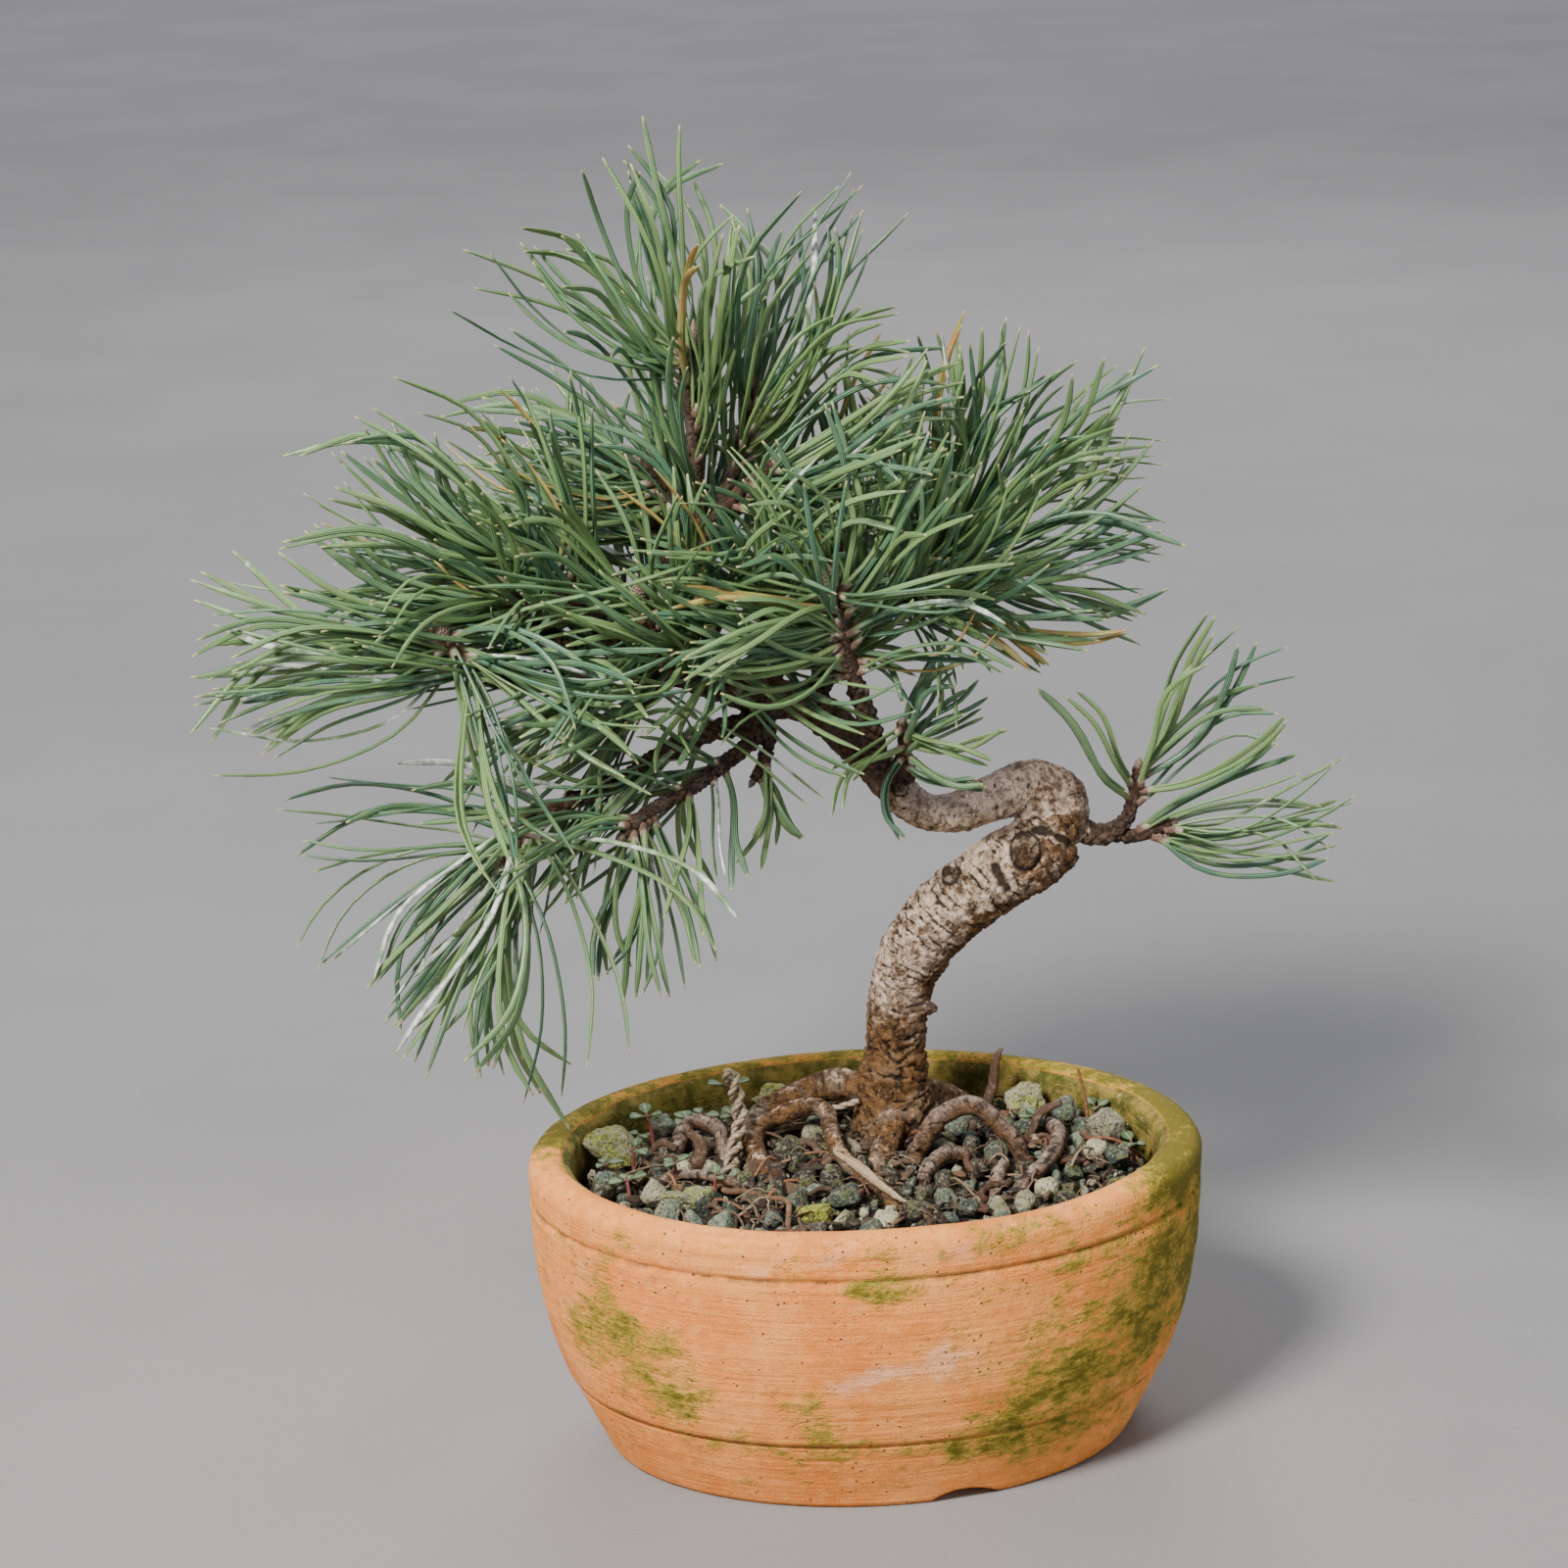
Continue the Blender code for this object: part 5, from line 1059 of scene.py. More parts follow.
def shingled(unrolled, spacing, wander, seed):
    """Overlapping rows of flakes across the wood.

    Gives each point's share of the way to its row's lifted edge, and how deep it lies in the line under the
    row before.
    """
    waves = noise(unrolled, 4.5, seed) + 0.45 * noise(unrolled, 1.8, seed + 1)
    row = unrolled[:, 0] / spacing + wander * waves
    share = row - np.floor(row)
    line = 1 - ease(share, 0.04, 0.34)
    broken = 0.25 + 0.75 * ease(noise(unrolled / (1.2, 3, 3), 1.6, seed + 2), -0.40, 0.20)
    return share, line * broken


def scarred(points, shape, dent, grit):
    """The relief with the scars and slits cut into it, and how far each point is in the wood of a scar.

    A scar is a ringed face with a rolled rim, in a moat.
    """
    heart = np.zeros(len(points))
    for centre, wide, high, proud in SCARS:
        away = (points - centre) * (1, 0.8, 1)
        reach = np.linalg.norm(away / (wide, max(wide, high), high), axis=1)
        rim = np.exp(-((reach - 0.95) / 0.17) ** 2)
        moat = np.exp(-((reach - 1.28) / 0.12) ** 2)
        inner = ease(-reach, -0.85, -0.6)
        calm = 1 - ease(-reach, -1.5, -1.1)
        shape = shape * calm + proud * ease(-reach, -1.25, -0.6) * 0.7 + proud * 0.6 * rim - 0.7 * moat
        shape += inner * (0.16 * np.cos(reach * 26) - 0.35)
        # The moat takes painted shade in dent; the dark rim and rings are the scar's own colour.
        dent = dent * calm + moat + 0.85 * rim * ease(grit, -0.7, 0.1)
        dent += inner * (0.35 + 0.5 * ease(np.cos(reach * 26), 0.0, 0.8))
        heart = np.maximum(heart, ease(-reach, -1.05, -0.8) * 0.65)
    for first, last, reach in SLITS:
        near_slit = away_from_line(points, first, last) + 0.5 * grit
        cut = ease(-near_slit, -reach * 2.6, -reach * 0.6)
        shape = shape - 0.7 * cut
        # Painted shade in the slit.
        dent = np.maximum(dent, cut)
    return shape, dent, heart


def bark_relief(points, normals, samples):
    """How far each point of the bark moves out, and the numbers that colour it."""
    along, side, other, radius, line = on_wood(points, samples)
    stem = line < 2
    unrolled = np.stack([along, side, other], axis=1) + line[:, None] * 37.0
    thick = ease(radius, 1.5, 7)
    height_noise = points[:, 2] + 7 * noise(points, 9, 28)
    foot = (line == 0) * ease(-height_noise, -122, -92)
    ring_share, ring_line = shingled(unrolled, 2.0, 0.38, 21)
    plate_share, plate_line = shingled(unrolled, 2.9, 0.75, 31)
    _, gap, number = cells(unrolled / (1.2, 1, 1) + 1.3 * noise(unrolled, 2.0, 35)[:, None], 3.0, 24)
    cracks = ease(-gap, -0.12, -0.02) * ease(noise(unrolled, 4, 36), -0.3, 0.3)
    fleck_near, _, fleck = cells(unrolled / (0.5, 1.3, 1.3), 2.0, 25)
    flecks = ease(-fleck_near, -0.36, -0.18) * (fleck > 0.62)
    grit = rough(points, 2.0, 2, 26)
    swell = noise(unrolled / (1, 1.6, 1.6), 5.5, 23)
    rings = (0.26 * ring_share - 0.40 * ring_line) * (1 - 0.5 * (line == 1)) - 0.30 * flecks + 0.30 * swell
    plates = 0.75 * plate_share + 0.45 * number - 0.75 * plate_line - 0.55 * cracks + 0.3 * swell
    shape = stem * (rings * (1 - foot) + plates * foot * thick + 0.28 * grit * (0.6 + thick))
    turn = np.arctan2(other, side)
    spiral = np.cos(turn * 2.5 + along * 0.95) * np.cos(turn * 2.5 - along * 0.95)
    buried = line >= 2 + len(BRANCHES) - BURIED_ROOTS
    twig = ~stem & ~buried
    shape += twig * (0.75 * np.abs(spiral) + 0.45 * grit - 0.1)
    strings = 0.25 * noise(unrolled / (3.5, 1.2, 1.2), 1, 27)
    shape += buried * (strings - 0.3 * ring_line + 0.2 * ring_share + 0.1 * grit)
    # Painted shade: dent darkens the ring lines under each row of flakes, the plate lines, cracks, flecks and
    # twig grooves, where the relief sinks.
    ring_dent = 0.95 * ring_line * (1 - 0.5 * (line == 1)) + 0.75 * flecks
    dent = stem * ((1 - foot) * ring_dent + foot * (0.95 * plate_line + 0.8 * cracks))
    dent = dent + twig * ease(-np.abs(spiral), -0.28, -0.02) * 0.8 + buried * (0.6 * ring_line + 0.5 * cracks)
    shape, dent, heart = scarred(points, shape, dent, grit)
    # Painted highlight: lit_side is the side facing the key light, and the trunk's own silver bark, higher up
    # and at the bend, is spread paler and wider there.
    lit_side = ease(-normals[:, 0] * 0.8 - normals[:, 1] * 0.5 + normals[:, 2] * 0.35, -0.45, 0.65)
    bend = ease(points[:, 0] + 5 * noise(points, 6, 29), 36, 52)
    pale = (line == 0) * ease(height_noise, 88, 126) * (0.02 + 0.62 * lit_side) * (1 - bend)
    pale += stem * bend * (0.10 + 0.25 * lit_side)
    limb_top = (line == 1) * ease(points[:, 0], 4, 16) * (1 - 0.7 * bend)
    # Painted top light: the roots at the trunk's foot are paler where they face up.
    root_top_light = buried * (-0.10 + 0.40 * normals[:, 2])
    # On the limb, plum-grey goes only on the up-facing side as painted top light over its own bark, and gold
    # on the underside as a painted highlight.
    fields = {
        "dent": np.clip(dent, 0, 1), "pale": pale + 0.62 * limb_top + np.clip(root_top_light, 0, 1), "plate": foot,
        "twig": np.clip(twig + (line == 1) * ease(-points[:, 0], -12, 4) * 0.8, 0, 1), "heart": heart,
        "limb": limb_top * ease(normals[:, 2], -0.35, 0.5), "gold": limb_top * ease(-normals[:, 2], 0.0, 0.7),
    }
    return shape, fields


def make_trunk(look):
    """The trunk, the limb, the branches and the roots at its foot, as one piece of wood with bark."""
    shape = Shape()
    for rows, grow in wood_lines():
        path = curve(rows, 1.2)
        around = 28 if path[:, 3].max() > 5 else 14
        shape.add(*tube(path[:, :3], path[:, 3] + grow, circle(around)))
    data = skinned(shape, 0.56, 7)
    samples = middle_samples([rows for rows, _ in wood_lines()], 1.0)
    points, normals = points_of(data), normals_of(data)
    moved, fields = bark_relief(points, normals, samples)
    move_points(data, points + normals * moved[:, None])
    data.name = "tree_wood"
    data.materials.append(look)
    data.shade_smooth()
    for field, values in fields.items():
        write_field(data, field, values)
    trunk = bpy.data.objects.new("tree_wood", data)
    bpy.context.scene.collection.objects.link(trunk)
    place(trunk, "bark", "trunk")


def make_roots(look):
    """Exposed roots: swept lines with knuckles, ring creases and stringy grain."""
    step, around = 0.45, 20
    for name, rows in ROOTS.items():
        path = curve(rows, step)
        rng = seeded(name)
        base = rng.uniform(0, 90)
        gone = np.arange(len(path)) * step
        sample = np.stack([gone + base, np.full(len(path), base), np.zeros(len(path))], axis=1)
        wander = np.stack([noise(sample, 7, 31 + axis) for axis in range(3)], axis=1) * 0.55
        ends = np.minimum(gone, gone[::-1])
        points, faces, middle = round_tube(path[:, :3] + wander * ease(ends, 0, 6)[:, None], around)
        turn = crosswise(even_turns(around), len(path))
        along = lengthwise(gone, around)
        size = lengthwise(path[:, 3], around)
        local = np.stack([along, np.cos(turn) * size, np.sin(turn) * size], axis=1) + base
        rings = ease(1 - np.abs(noise(local / (1.3, 5, 5), 1, 41)), 0.84, 0.99)
        strings = noise(local / (9, 0.8, 0.8), 1, 42)
        knuckles = noise(local / (4.2, 6, 6), 1, 43)
        radius = size * (1 + 0.14 * knuckles) - 0.22 * rings + 0.16 * strings
        radius += 0.08 * rough(local, 1.5, 2, 44)
        points = middle + (points - middle) * radius[:, None]
        facing_up = np.clip((points - middle)[:, 2] / np.maximum(size, 0.1), -1, 1)
        # Painted light: each root is paler and plum-grey where it faces up (painted top light) and darker
        # where it faces down (painted shade), over its own brown.
        pale = -0.12 + 0.48 * facing_up + 0.25 * noise(local, 11, 45)
        # Painted shade in the ring creases and between the strings.
        dent = np.clip(0.8 * rings + 0.6 * ease(-strings, 0.1, 0.6), 0, 1)
        shape = Shape()
        shape.add(points, faces, pale=pale, dent=dent, limb=0.5 * ease(facing_up, 0.1, 0.9),
                  twig=0.35 + 0.35 * ease(-facing_up, -0.3, 0.8))
        place(shape.build(f"{name}_wood", look), "root", name)


# ---- soil, stones and litter


def ground_height(x, y):
    """The soil's height at (x, y), before its roughness."""
    half = np.hypot(x, y / SOIL_SHAPE)
    rings, heights = zip(*reversed(SOIL_TOP))
    return np.interp(half, rings, heights)


def ground_at(x, y):
    return float(ground_height(np.array(x), np.array(y)))


def make_soil():
    """The soil that fills the pot, with a crumbly, domed top."""
    rings = [oval(a, z) for a, z in reversed(SOIL_WALL)]
    rows = np.array([(a, 0, z) for a, z in SOIL_TOP[:-1]])
    top = curve(rows, 1.1)
    rings += [oval(a, z) for a, _, z in top]
    for share in np.linspace(0.92, 0.08, 12):
        rings.append((top[-1, 0] * share, top[-1, 0] * CROWN_SHAPE * share, top[-1, 2]))
    points = ring_points(rings, SOIL_SIDES)
    points = np.vstack([points, (0, 0, rings[0][2]), (0, 0, rings[-1][2])])
    on_top = ease(points[:, 2], 66, 67.2)
    crumbs, _, _ = cells(points, 2.6, 51)
    points[:, 2] += on_top * (0.9 * rough(points, 7, 3, 52) + 0.8 * (0.5 - crumbs) - 0.3)
    faces = face_list(tube_faces(len(rings), SOIL_SIDES))
    place(make("soil_mound", points, faces, [soil_look()]), "soil", "soil")


def stone_points(unit_points, rng, sizes, facets, bumps):
    """A pebble: a ball with some flats cut off it, roughened, and squeezed to its three half sizes."""
    points = unit_points.copy()
    for _ in range(facets):
        way = unit(rng.normal(size=3))
        over = points @ way - rng.uniform(0.48, 0.84)
        points -= np.maximum(over, 0)[:, None] * way * 0.92
    start = rng.uniform(0, 90, 3)
    swell = 1 + bumps * (0.55 * noise(points + start, 0.75, 61) + 0.3 * noise(points + start, 0.34, 62))
    return points * swell[:, None] * sizes


def turned(points, rng):
    """The points turned some way round some line."""
    turn = Matrix.Rotation(rng.uniform(0, math.tau), 3, Vector(rng.normal(size=3)))
    return points @ np.array(turn).T


def make_big_stones(look):
    """Big stones: pitted pebbles, with painted shade darkening them towards their undersides."""
    unit_points, unit_faces = ball(5)
    for name, (middle, half, turn, (tone, green, moss)) in STONES.items():
        rng = seeded(name)
        points = stone_points(unit_points, rng, (half[0] * 1.04, half[1] * 1.04, half[2] * 1.08), 9, 0.34)
        pores, _, number = cells(points, 1.5, 63)
        outward = unit_rows(points)
        points -= outward * (0.45 * ease(-pores, -0.42, -0.2) * (number > 0.45))[:, None]
        points += outward * (0.30 * rough(points, 1.9, 3, 64))[:, None]
        points = points @ np.array(Matrix.Rotation(math.radians(turn), 3, "Z")).T + middle
        shape = Shape()
        # Painted shade: each stone's tone falls off towards its underside.
        painted_shade_below = ease(-(points[:, 2] - middle[2]) / half[2], -0.9, 0.9)
        shape.add(points, [unit_faces], tone=tone - 0.25 * painted_shade_below, green=green, moss=moss)
        place(shape.build(f"{name}_rock", look), "mossy_stone" if "mossy" in name else "stone", name)


def within(rng, half):
    """A place anywhere in the oval with these half length and half width."""
    reach, turn = math.sqrt(rng.random()), rng.uniform(0, math.tau)
    return half[0] * reach * math.cos(turn), half[1] * reach * math.sin(turn)


def obstacles():
    """Balls (x, y, z, radius) that fill the wood and the big stones near the soil."""
    wood = middle_samples([TRUNK, *BRANCHES.values(), *ROOTS.values()], 1.5)[:, :4]
    rocks = np.array([(*middle, min(half) * 0.9) for middle, half, _, _ in STONES.values()])
    solid = np.vstack([wood, rocks])
    return solid[solid[:, 2] < 95]


def make_gravel(look):
    """Gravel packed over the soil, large grains first. No grain lies in a root, a stone or another grain."""
    rng = seeded("gravel")
    solid = obstacles()
    for name, (tries, smallest, largest, level) in GRAVEL.items():
        shape = Shape()
        unit_points, unit_faces = ball(level)
        for number in range(tries):
            x, y = within(rng, GRAVEL_HALF)
            size = largest + (smallest - largest) * number / tries * rng.uniform(0.7, 1.0)
            if math.hypot(x / (GRAVEL_WALL[0] - size), y / (GRAVEL_WALL[1] - size)) > 1:
                continue
            z = ground_at(x, y) + size * rng.uniform(0.15, 0.6)
            away = np.linalg.norm(solid[:, :3] - (x, y, z), axis=1) - solid[:, 3] - size * 0.88
            if away.min() < 0:
                continue
            solid = np.vstack([solid, (x, y, z, size * 0.9)])
            sizes = size * np.array((rng.uniform(0.85, 1.25), rng.uniform(0.8, 1.1), rng.uniform(0.65, 0.95)))
            points = turned(stone_points(unit_points, rng, sizes, 8, 0.30), rng) + (x, y, z)
            darkest, palest, green = GRAVEL_KINDS[rng.choice(len(GRAVEL_KINDS), p=KIND_SHARES)]
            tone = rng.uniform(darkest, palest)
            moss = 0.35 if rng.random() < 0.05 else 0.0
            shape.add(points, [unit_faces], tone=tone, green=green, moss=moss)
        place(shape.build(name, look), "stone")


def flake(rng, centre, long, wide, thick):
    """A bark flake: a thin bent plate with a ragged edge."""
    sides = 9
    reach = 1 + rng.uniform(-0.28, 0.28, sides)
    rim = np.column_stack([circle(sides) * reach[:, None] * (long, wide), np.zeros(sides)])
    top, low = [], []
    for ring in (rim, rim * 0.5):
        bend = 0.12 * ring[:, 1] ** 2 / wide
        top.append(ring + UP * (bend + thick)[:, None])
        low.append(ring + UP * (bend - thick * 0.2)[:, None])
    points = np.vstack([low[1], low[0], top[0], top[1], [low[1].mean(axis=0)], [top[1].mean(axis=0)]])
    return turned(points, rng) + centre, tube_faces(4, sides)


def lying_line(rng, lengths, rises, curl, step):
    """A bent line that lies over the gravel, its length and rise somewhere between the given two."""
    points = [within(rng, LITTER_HALF)]
    length, rise = rng.uniform(*lengths), rng.uniform(*rises)
    turn = rng.uniform(0, math.tau)
    count = max(5, int(length / step))
    for _ in range(count):
        turn += rng.normal() * curl
        points.append((points[-1][0] + math.cos(turn) * step, points[-1][1] + math.sin(turn) * step))
    flat = np.array(points)
    squeeze = np.maximum(1.0, np.hypot(flat[:, 0] / LITTER_WALL[0], flat[:, 1] / LITTER_WALL[1]))
    flat = flat / squeeze[:, None]
    lift = rise * (1 + 0.7 * np.sin(np.linspace(0, math.pi * rng.uniform(0.8, 2.2), len(flat))))
    return np.column_stack([flat, ground_height(flat[:, 0], flat[:, 1]) + lift])


def tapered(count, start, end):
    """Shares of the full radius that fall off towards a tube's end."""
    return np.minimum(1, np.linspace(start, end, count)[::-1])


def add_fallen_needles(shape, rng, count):
    for _ in range(count):
        path = lying_line(rng, (7, 24), (2.0, 3.2), curl=0.10, step=1.2)
        radii = rng.uniform(0.28, 0.42) * tapered(len(path), 0.5, 6)
        tone, red = rng.uniform(0.2, 0.8), rng.choice([0.0, 0.0, 0.15, 0.5])
        shape.add(*tube(path, radii, circle(6)), tone=tone, red=red)


def add_root_hairs(shape, rng, count):
    for _ in range(count):
        path = lying_line(rng, (6, 22), (1.4, 3.0), curl=0.55, step=0.7)
        shape.add(*tube(path, rng.uniform(0.12, 0.24), circle(5)), tone=rng.uniform(0.3, 0.85), red=0.0)


def add_rootlets(shape, rng, count):
    for _ in range(count):
        path = lying_line(rng, (8, 20), (1.2, 2.6), curl=0.3, step=0.9)
        radii = rng.uniform(0.55, 1.1) * (1 + 0.18 * noise(path, 1.6, 71))
        tone, red = rng.uniform(0.05, 0.5), rng.choice([0.0, 0.0, 0.15])
        shape.add(*tube(path, radii, circle(9)), tone=tone, red=red)


def add_flakes(shape, rng, count):
    for _ in range(count):
        x, y = within(rng, LITTER_HALF)
        centre = np.array((x, y, ground_at(x, y) + rng.uniform(1.0, 3.4)))
        long, wide, thick = rng.uniform(1.2, 3.4), rng.uniform(0.8, 2.0), rng.uniform(0.2, 0.5)
        points, faces = flake(rng, centre, long, wide, thick)
        shape.add(points, faces, tone=rng.uniform(0.0, 0.55), red=rng.choice([0.0, 0.0, 0.2]))


def make_litter(look):
    """What has fallen or grown among the stones: needles, hairs, rootlets, flakes, splinters and chips."""
    rng = seeded("litter")
    shape = Shape()
    add_fallen_needles(shape, rng, 34)
    add_root_hairs(shape, rng, 110)
    add_rootlets(shape, rng, 44)
    add_flakes(shape, rng, 170)
    for rows, tone in ((SPLINTER, 0.95), (SLIVER, 0.85)):
        path = curve(rows, 0.8)
        points, faces = tube(path[:, :3], path[:, 3], circle(7) * (1, 0.5))
        shape.add(points + 0.15 * noise(points, 1.1, 72)[:, None], faces, tone=tone, red=0.05)
    for rows in BARK_CHIPS:
        path = curve(rows, 0.7)
        points, faces = tube(path[:, :3], path[:, 3], circle(11) * (1, 0.55))
        points += (0.45 * rough(points, 2.4, 3, 73))[:, None] * (0.6, 0.6, 0.3)
        shape.add(points, faces, tone=0.22, red=0.08)
    place(shape.build("fallen_litter", look), "dry_stalk")
    for name, rows, radius, tone, red in (("dry_stalk", DRY_STALK, 0.42, 0.35, 0.55),
                                          ("fallen_needle", FALLEN_NEEDLE, 0.5, 0.6, 0.75)):
        path = curve(rows, 0.8)
        radii = radius * (1 + 0.2 * noise(path, 2.5, 74)) * tapered(len(path), 0.4, 9)
        single = Shape()
        single.add(*tube(path, radii, circle(8)), tone=tone, red=red)
        place(single.build(f"{name}_dead", look), "dry_stalk", name)


# ---- the tie


def twist_strand(end):
    """One strand of the twist, which winds round the tie's middle line. End picks which of the two."""
    line = curve(TIE_AXIS, 0.7)
    _, sides, others = frames(line, np.array((1.0, 0, 0)))
    turn = math.tau * (TIE_TURNS * np.arange(len(line)) / (len(line) - 1) + end / 2)
    return line + (np.cos(turn)[:, None] * sides + np.sin(turn)[:, None] * others) * TIE_SPREAD


def laid_twine(path, radius):
    """A two-ply string, its plies wound round each other."""
    ring = circle(16)
    lobes = ring * (0.72 + 0.34 * np.abs(ring[:, :1]))
    radii = radius * (1 + 0.06 * noise(path, 2.0, 81))
    points, faces = tube(path, radii, lobes, turns=distance_along(path) * 1.15)
    return points, faces, crosswise(np.abs(ring[:, 0]), len(path))


def make_tie():
    """The doubled and twisted twine, and the strand that holds the left root."""
    look = twine_look()
    up, down = twist_strand(0), twist_strand(1)
    over = (up[-1] + down[-1]) / 2 + unit(up[-1] - up[-3]) * 2.4
    whole = curve([*up[::2], over, *down[::-1][::2]], 0.45)
    for name, path in (("tie_twist", whole), ("tie_strand", curve(TIE_STRAND, 0.45))):
        points, faces, ply = laid_twine(path, TIE_RADIUS * 1.04)
        shape = Shape()
        shape.add(points, faces, ply=ply)
        place(shape.build(f"{name}_twine", look), "twine", name)


# ---- seedlings


def leaf_blade(base, way, length, wide):
    """A small spoon-shaped leaf with a raised rim and a sunken rib, as a thin closed plate."""
    flat = unit(np.cross(way, UP))
    over = np.cross(flat, way)
    rows, columns = 11, 9
    share = np.linspace(0, 1, rows)
    half = wide * np.sin(np.pi * np.clip(share * 0.93 + 0.04, 0, 1)) ** 0.6
    half *= np.where(share < 0.3, 0.35 + share * 2, 1)
    cross = np.linspace(-1, 1, columns)
    sheet = []
    for t, w in zip(share, half):
        droop = -0.16 * length * t * t
        for c in cross:
            cup = 0.22 * w * c * c + 0.05 * math.cos(c * 9 + t * 7)
            sheet.append(base + way * length * t + flat * w * c + over * (cup + droop))
    sheet = np.array(sheet)
    top, low = sheet + over * 0.22, sheet - over * 0.22
    row, column = np.divmod(np.arange((rows - 1) * (columns - 1)), columns - 1)
    first = row * columns + column
    upper = np.stack([first, first + columns, first + columns + 1, first + 1], axis=1)
    lower = upper[:, ::-1] + len(sheet)
    edge = [i * columns for i in range(rows)] + [(rows - 1) * columns + i for i in range(1, columns)]
    edge += [i * columns + columns - 1 for i in range(rows - 2, -1, -1)] + list(range(columns - 2, 0, -1))
    edge = np.array(edge)
    after = np.roll(edge, -1)
    side = np.stack([edge, edge + len(sheet), after + len(sheet), after], axis=1)
    rib = np.tile(1 - np.abs(cross), rows)
    return np.vstack([top, low]), [upper, lower, side], np.concatenate([rib, rib])


def add_seedling(shape, stem, leaves):
    path = curve(stem, 0.8)
    points, faces = tube(path, np.linspace(0.6, 0.4, len(path)), circle(8))
    shape.add(points, faces, stem=1.0, rib=0.0)
    for way, length in leaves:
        way = unit(np.array(way, float))
        stalk = np.array([path[-1], path[-1] + way * length * 0.3])
        points, faces = tube(stalk, 0.32, circle(6))
        shape.add(points, faces, stem=0.6, rib=0.0)
        points, faces, rib = leaf_blade(stalk[1] - way * 0.4, way, length * 0.78, length * 0.33)
        shape.add(points, faces, stem=0.0, rib=rib)


def make_seedlings():
    look = leaf_look()
    for name, (stem, leaves) in SEEDLINGS.items():
        shape = Shape()
        add_seedling(shape, stem, leaves)
        place(shape.build(f"{name}_plant", look), "seedling", name)
    rng = seeded("sprouts")
    shape = Shape()
    for x, y in SPROUTS:
        foot = np.array((x, y, ground_at(x, y)))
        lean = np.array((*rng.uniform(-1.5, 1.5, 2), 0))
        tall = rng.uniform(3.5, 7.5)
        stem = [foot - UP, foot + lean * 0.5 + UP * tall * 0.6, foot + lean + UP * tall]
        turn = rng.uniform(0, math.tau)
        leaves = []
        for _ in range(rng.integers(2, 5)):
            turn += math.tau * 0.38
            leaves.append(((math.cos(turn), math.sin(turn), rng.uniform(0.1, 0.6)), rng.uniform(3.2, 5.6)))
        add_seedling(shape, stem, leaves)
    place(shape.build("sprouts", look), "seedling")


# ---- needles


def solid_needles(name):
    """The middle line of each needle of a tuft's plain solid: four points, from its foot to its tip."""
    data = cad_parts[name].data
    loose = points_of(data)
    _, first, index = np.unique(np.round(loose, 2), axis=0, return_index=True, return_inverse=True)
    index = index.reshape(-1)
    points = loose[first]
    links = {}
    for edge in data.edges:
        a, b = (int(index[v]) for v in edge.vertices)
        if a != b:
            links.setdefault(a, set()).add(b)
            links.setdefault(b, set()).add(a)
    lines = []
    for tip, near in links.items():
        if len(near) != 3 or min(np.linalg.norm(points[other] - points[tip]) for other in near) < 6:
            continue
        layers, seen = [{tip}, set(near)], {tip} | near
        for _ in range(2):
            following = set().union(*(links[i] for i in layers[-1])) - seen
            layers.append(following)
            seen |= following
        if all(len(layer) == 3 for layer in layers[1:]):
            lines.append(np.array([points[sorted(layer)].mean(axis=0) for layer in reversed(layers)]))
    lines.sort(key=lambda line: tuple(np.round(line[-1], 2)))
    return lines


def resampled(path, count):
    """Points evenly spaced along the path."""
    gone = distance_along(path)
    return interpolated(path, gone, np.linspace(0, gone[-1], count))


def add_pair(shape, rng, line, bleach_chance):
    """Two needles from one sheath, which part and bend a little differently."""
    path = resampled(curve(line, 2.0), NEEDLE_SAMPLES)
    scale = distance_along(path)[-1] / NEEDLE_LENGTH
    share = np.append(np.linspace(0, 0.955, NEEDLE_SAMPLES - 2), (0.985, 1.0))
    path = interpolated(path, np.linspace(0, 1, NEEDLE_SAMPLES), share)
    _, sides, others = frames(path, unit(rng.normal(size=3)))
    pair_tone = rng.random()
    gold = 0.9 * (rng.random() < 0.02)
    spread = rng.uniform(0.8, 7.5) * scale
    droop = rng.uniform(-3.0, 4.0) * scale
    wave, start = rng.uniform(0.3, 1.9) * scale, rng.uniform(0, math.tau)
    wavy = wave * (np.sin(share * 4.4 + start) - math.sin(start)) * ease(share, 0.0, 0.35)
    path = path + sides * wavy[:, None] + others * (rng.normal(0, 0.9) * wavy)[:, None]
    taper = np.minimum(ease(share, -0.10, 0.12) * 0.35 + 0.65, 0.34 + 0.66 * ease(-share, -1.0, -0.90))
    for sign in (1, -1):
        bow = rng.normal(0, 3.6) * scale
        sway = rng.normal(0, 0.8)
        apart = sign * (0.40 + spread * share ** 1.4)
        aside = bow * share ** 2 + sway * np.sin(share * 8) * share
        bent = path + sides * apart[:, None] + others * aside[:, None] - UP * (droop * share ** 3)[:, None]
        kept = interpolated(bent, share, share * rng.uniform(0.9, 1.0))
        half = NEEDLE_HALF * rng.uniform(0.90, 1.12)
        points, faces = tube(kept, half * taper, NEEDLE_SECTION * sign, start=sides[0])
        bleach = rng.uniform(0.3, 0.75) if rng.random() < bleach_chance else 0.0
        along = lengthwise(share, len(NEEDLE_SECTION))
        shape.add(points, faces, 0, across=crosswise(NEEDLE_SECTION[:, 1], NEEDLE_SAMPLES), tone=pair_tone,
                  along=along, gold=gold * (0.4 + 0.6 * along), bleach=bleach)
    sheath = resampled(path, 40)[:4]
    points, faces = tube(sheath, np.array((1.15, 1.1, 1.0, 0.86)), circle(8))
    shape.add(points, faces, 1, edge=lengthwise(np.array((0.2, 0.5, 0.8, 1.0)), 8))


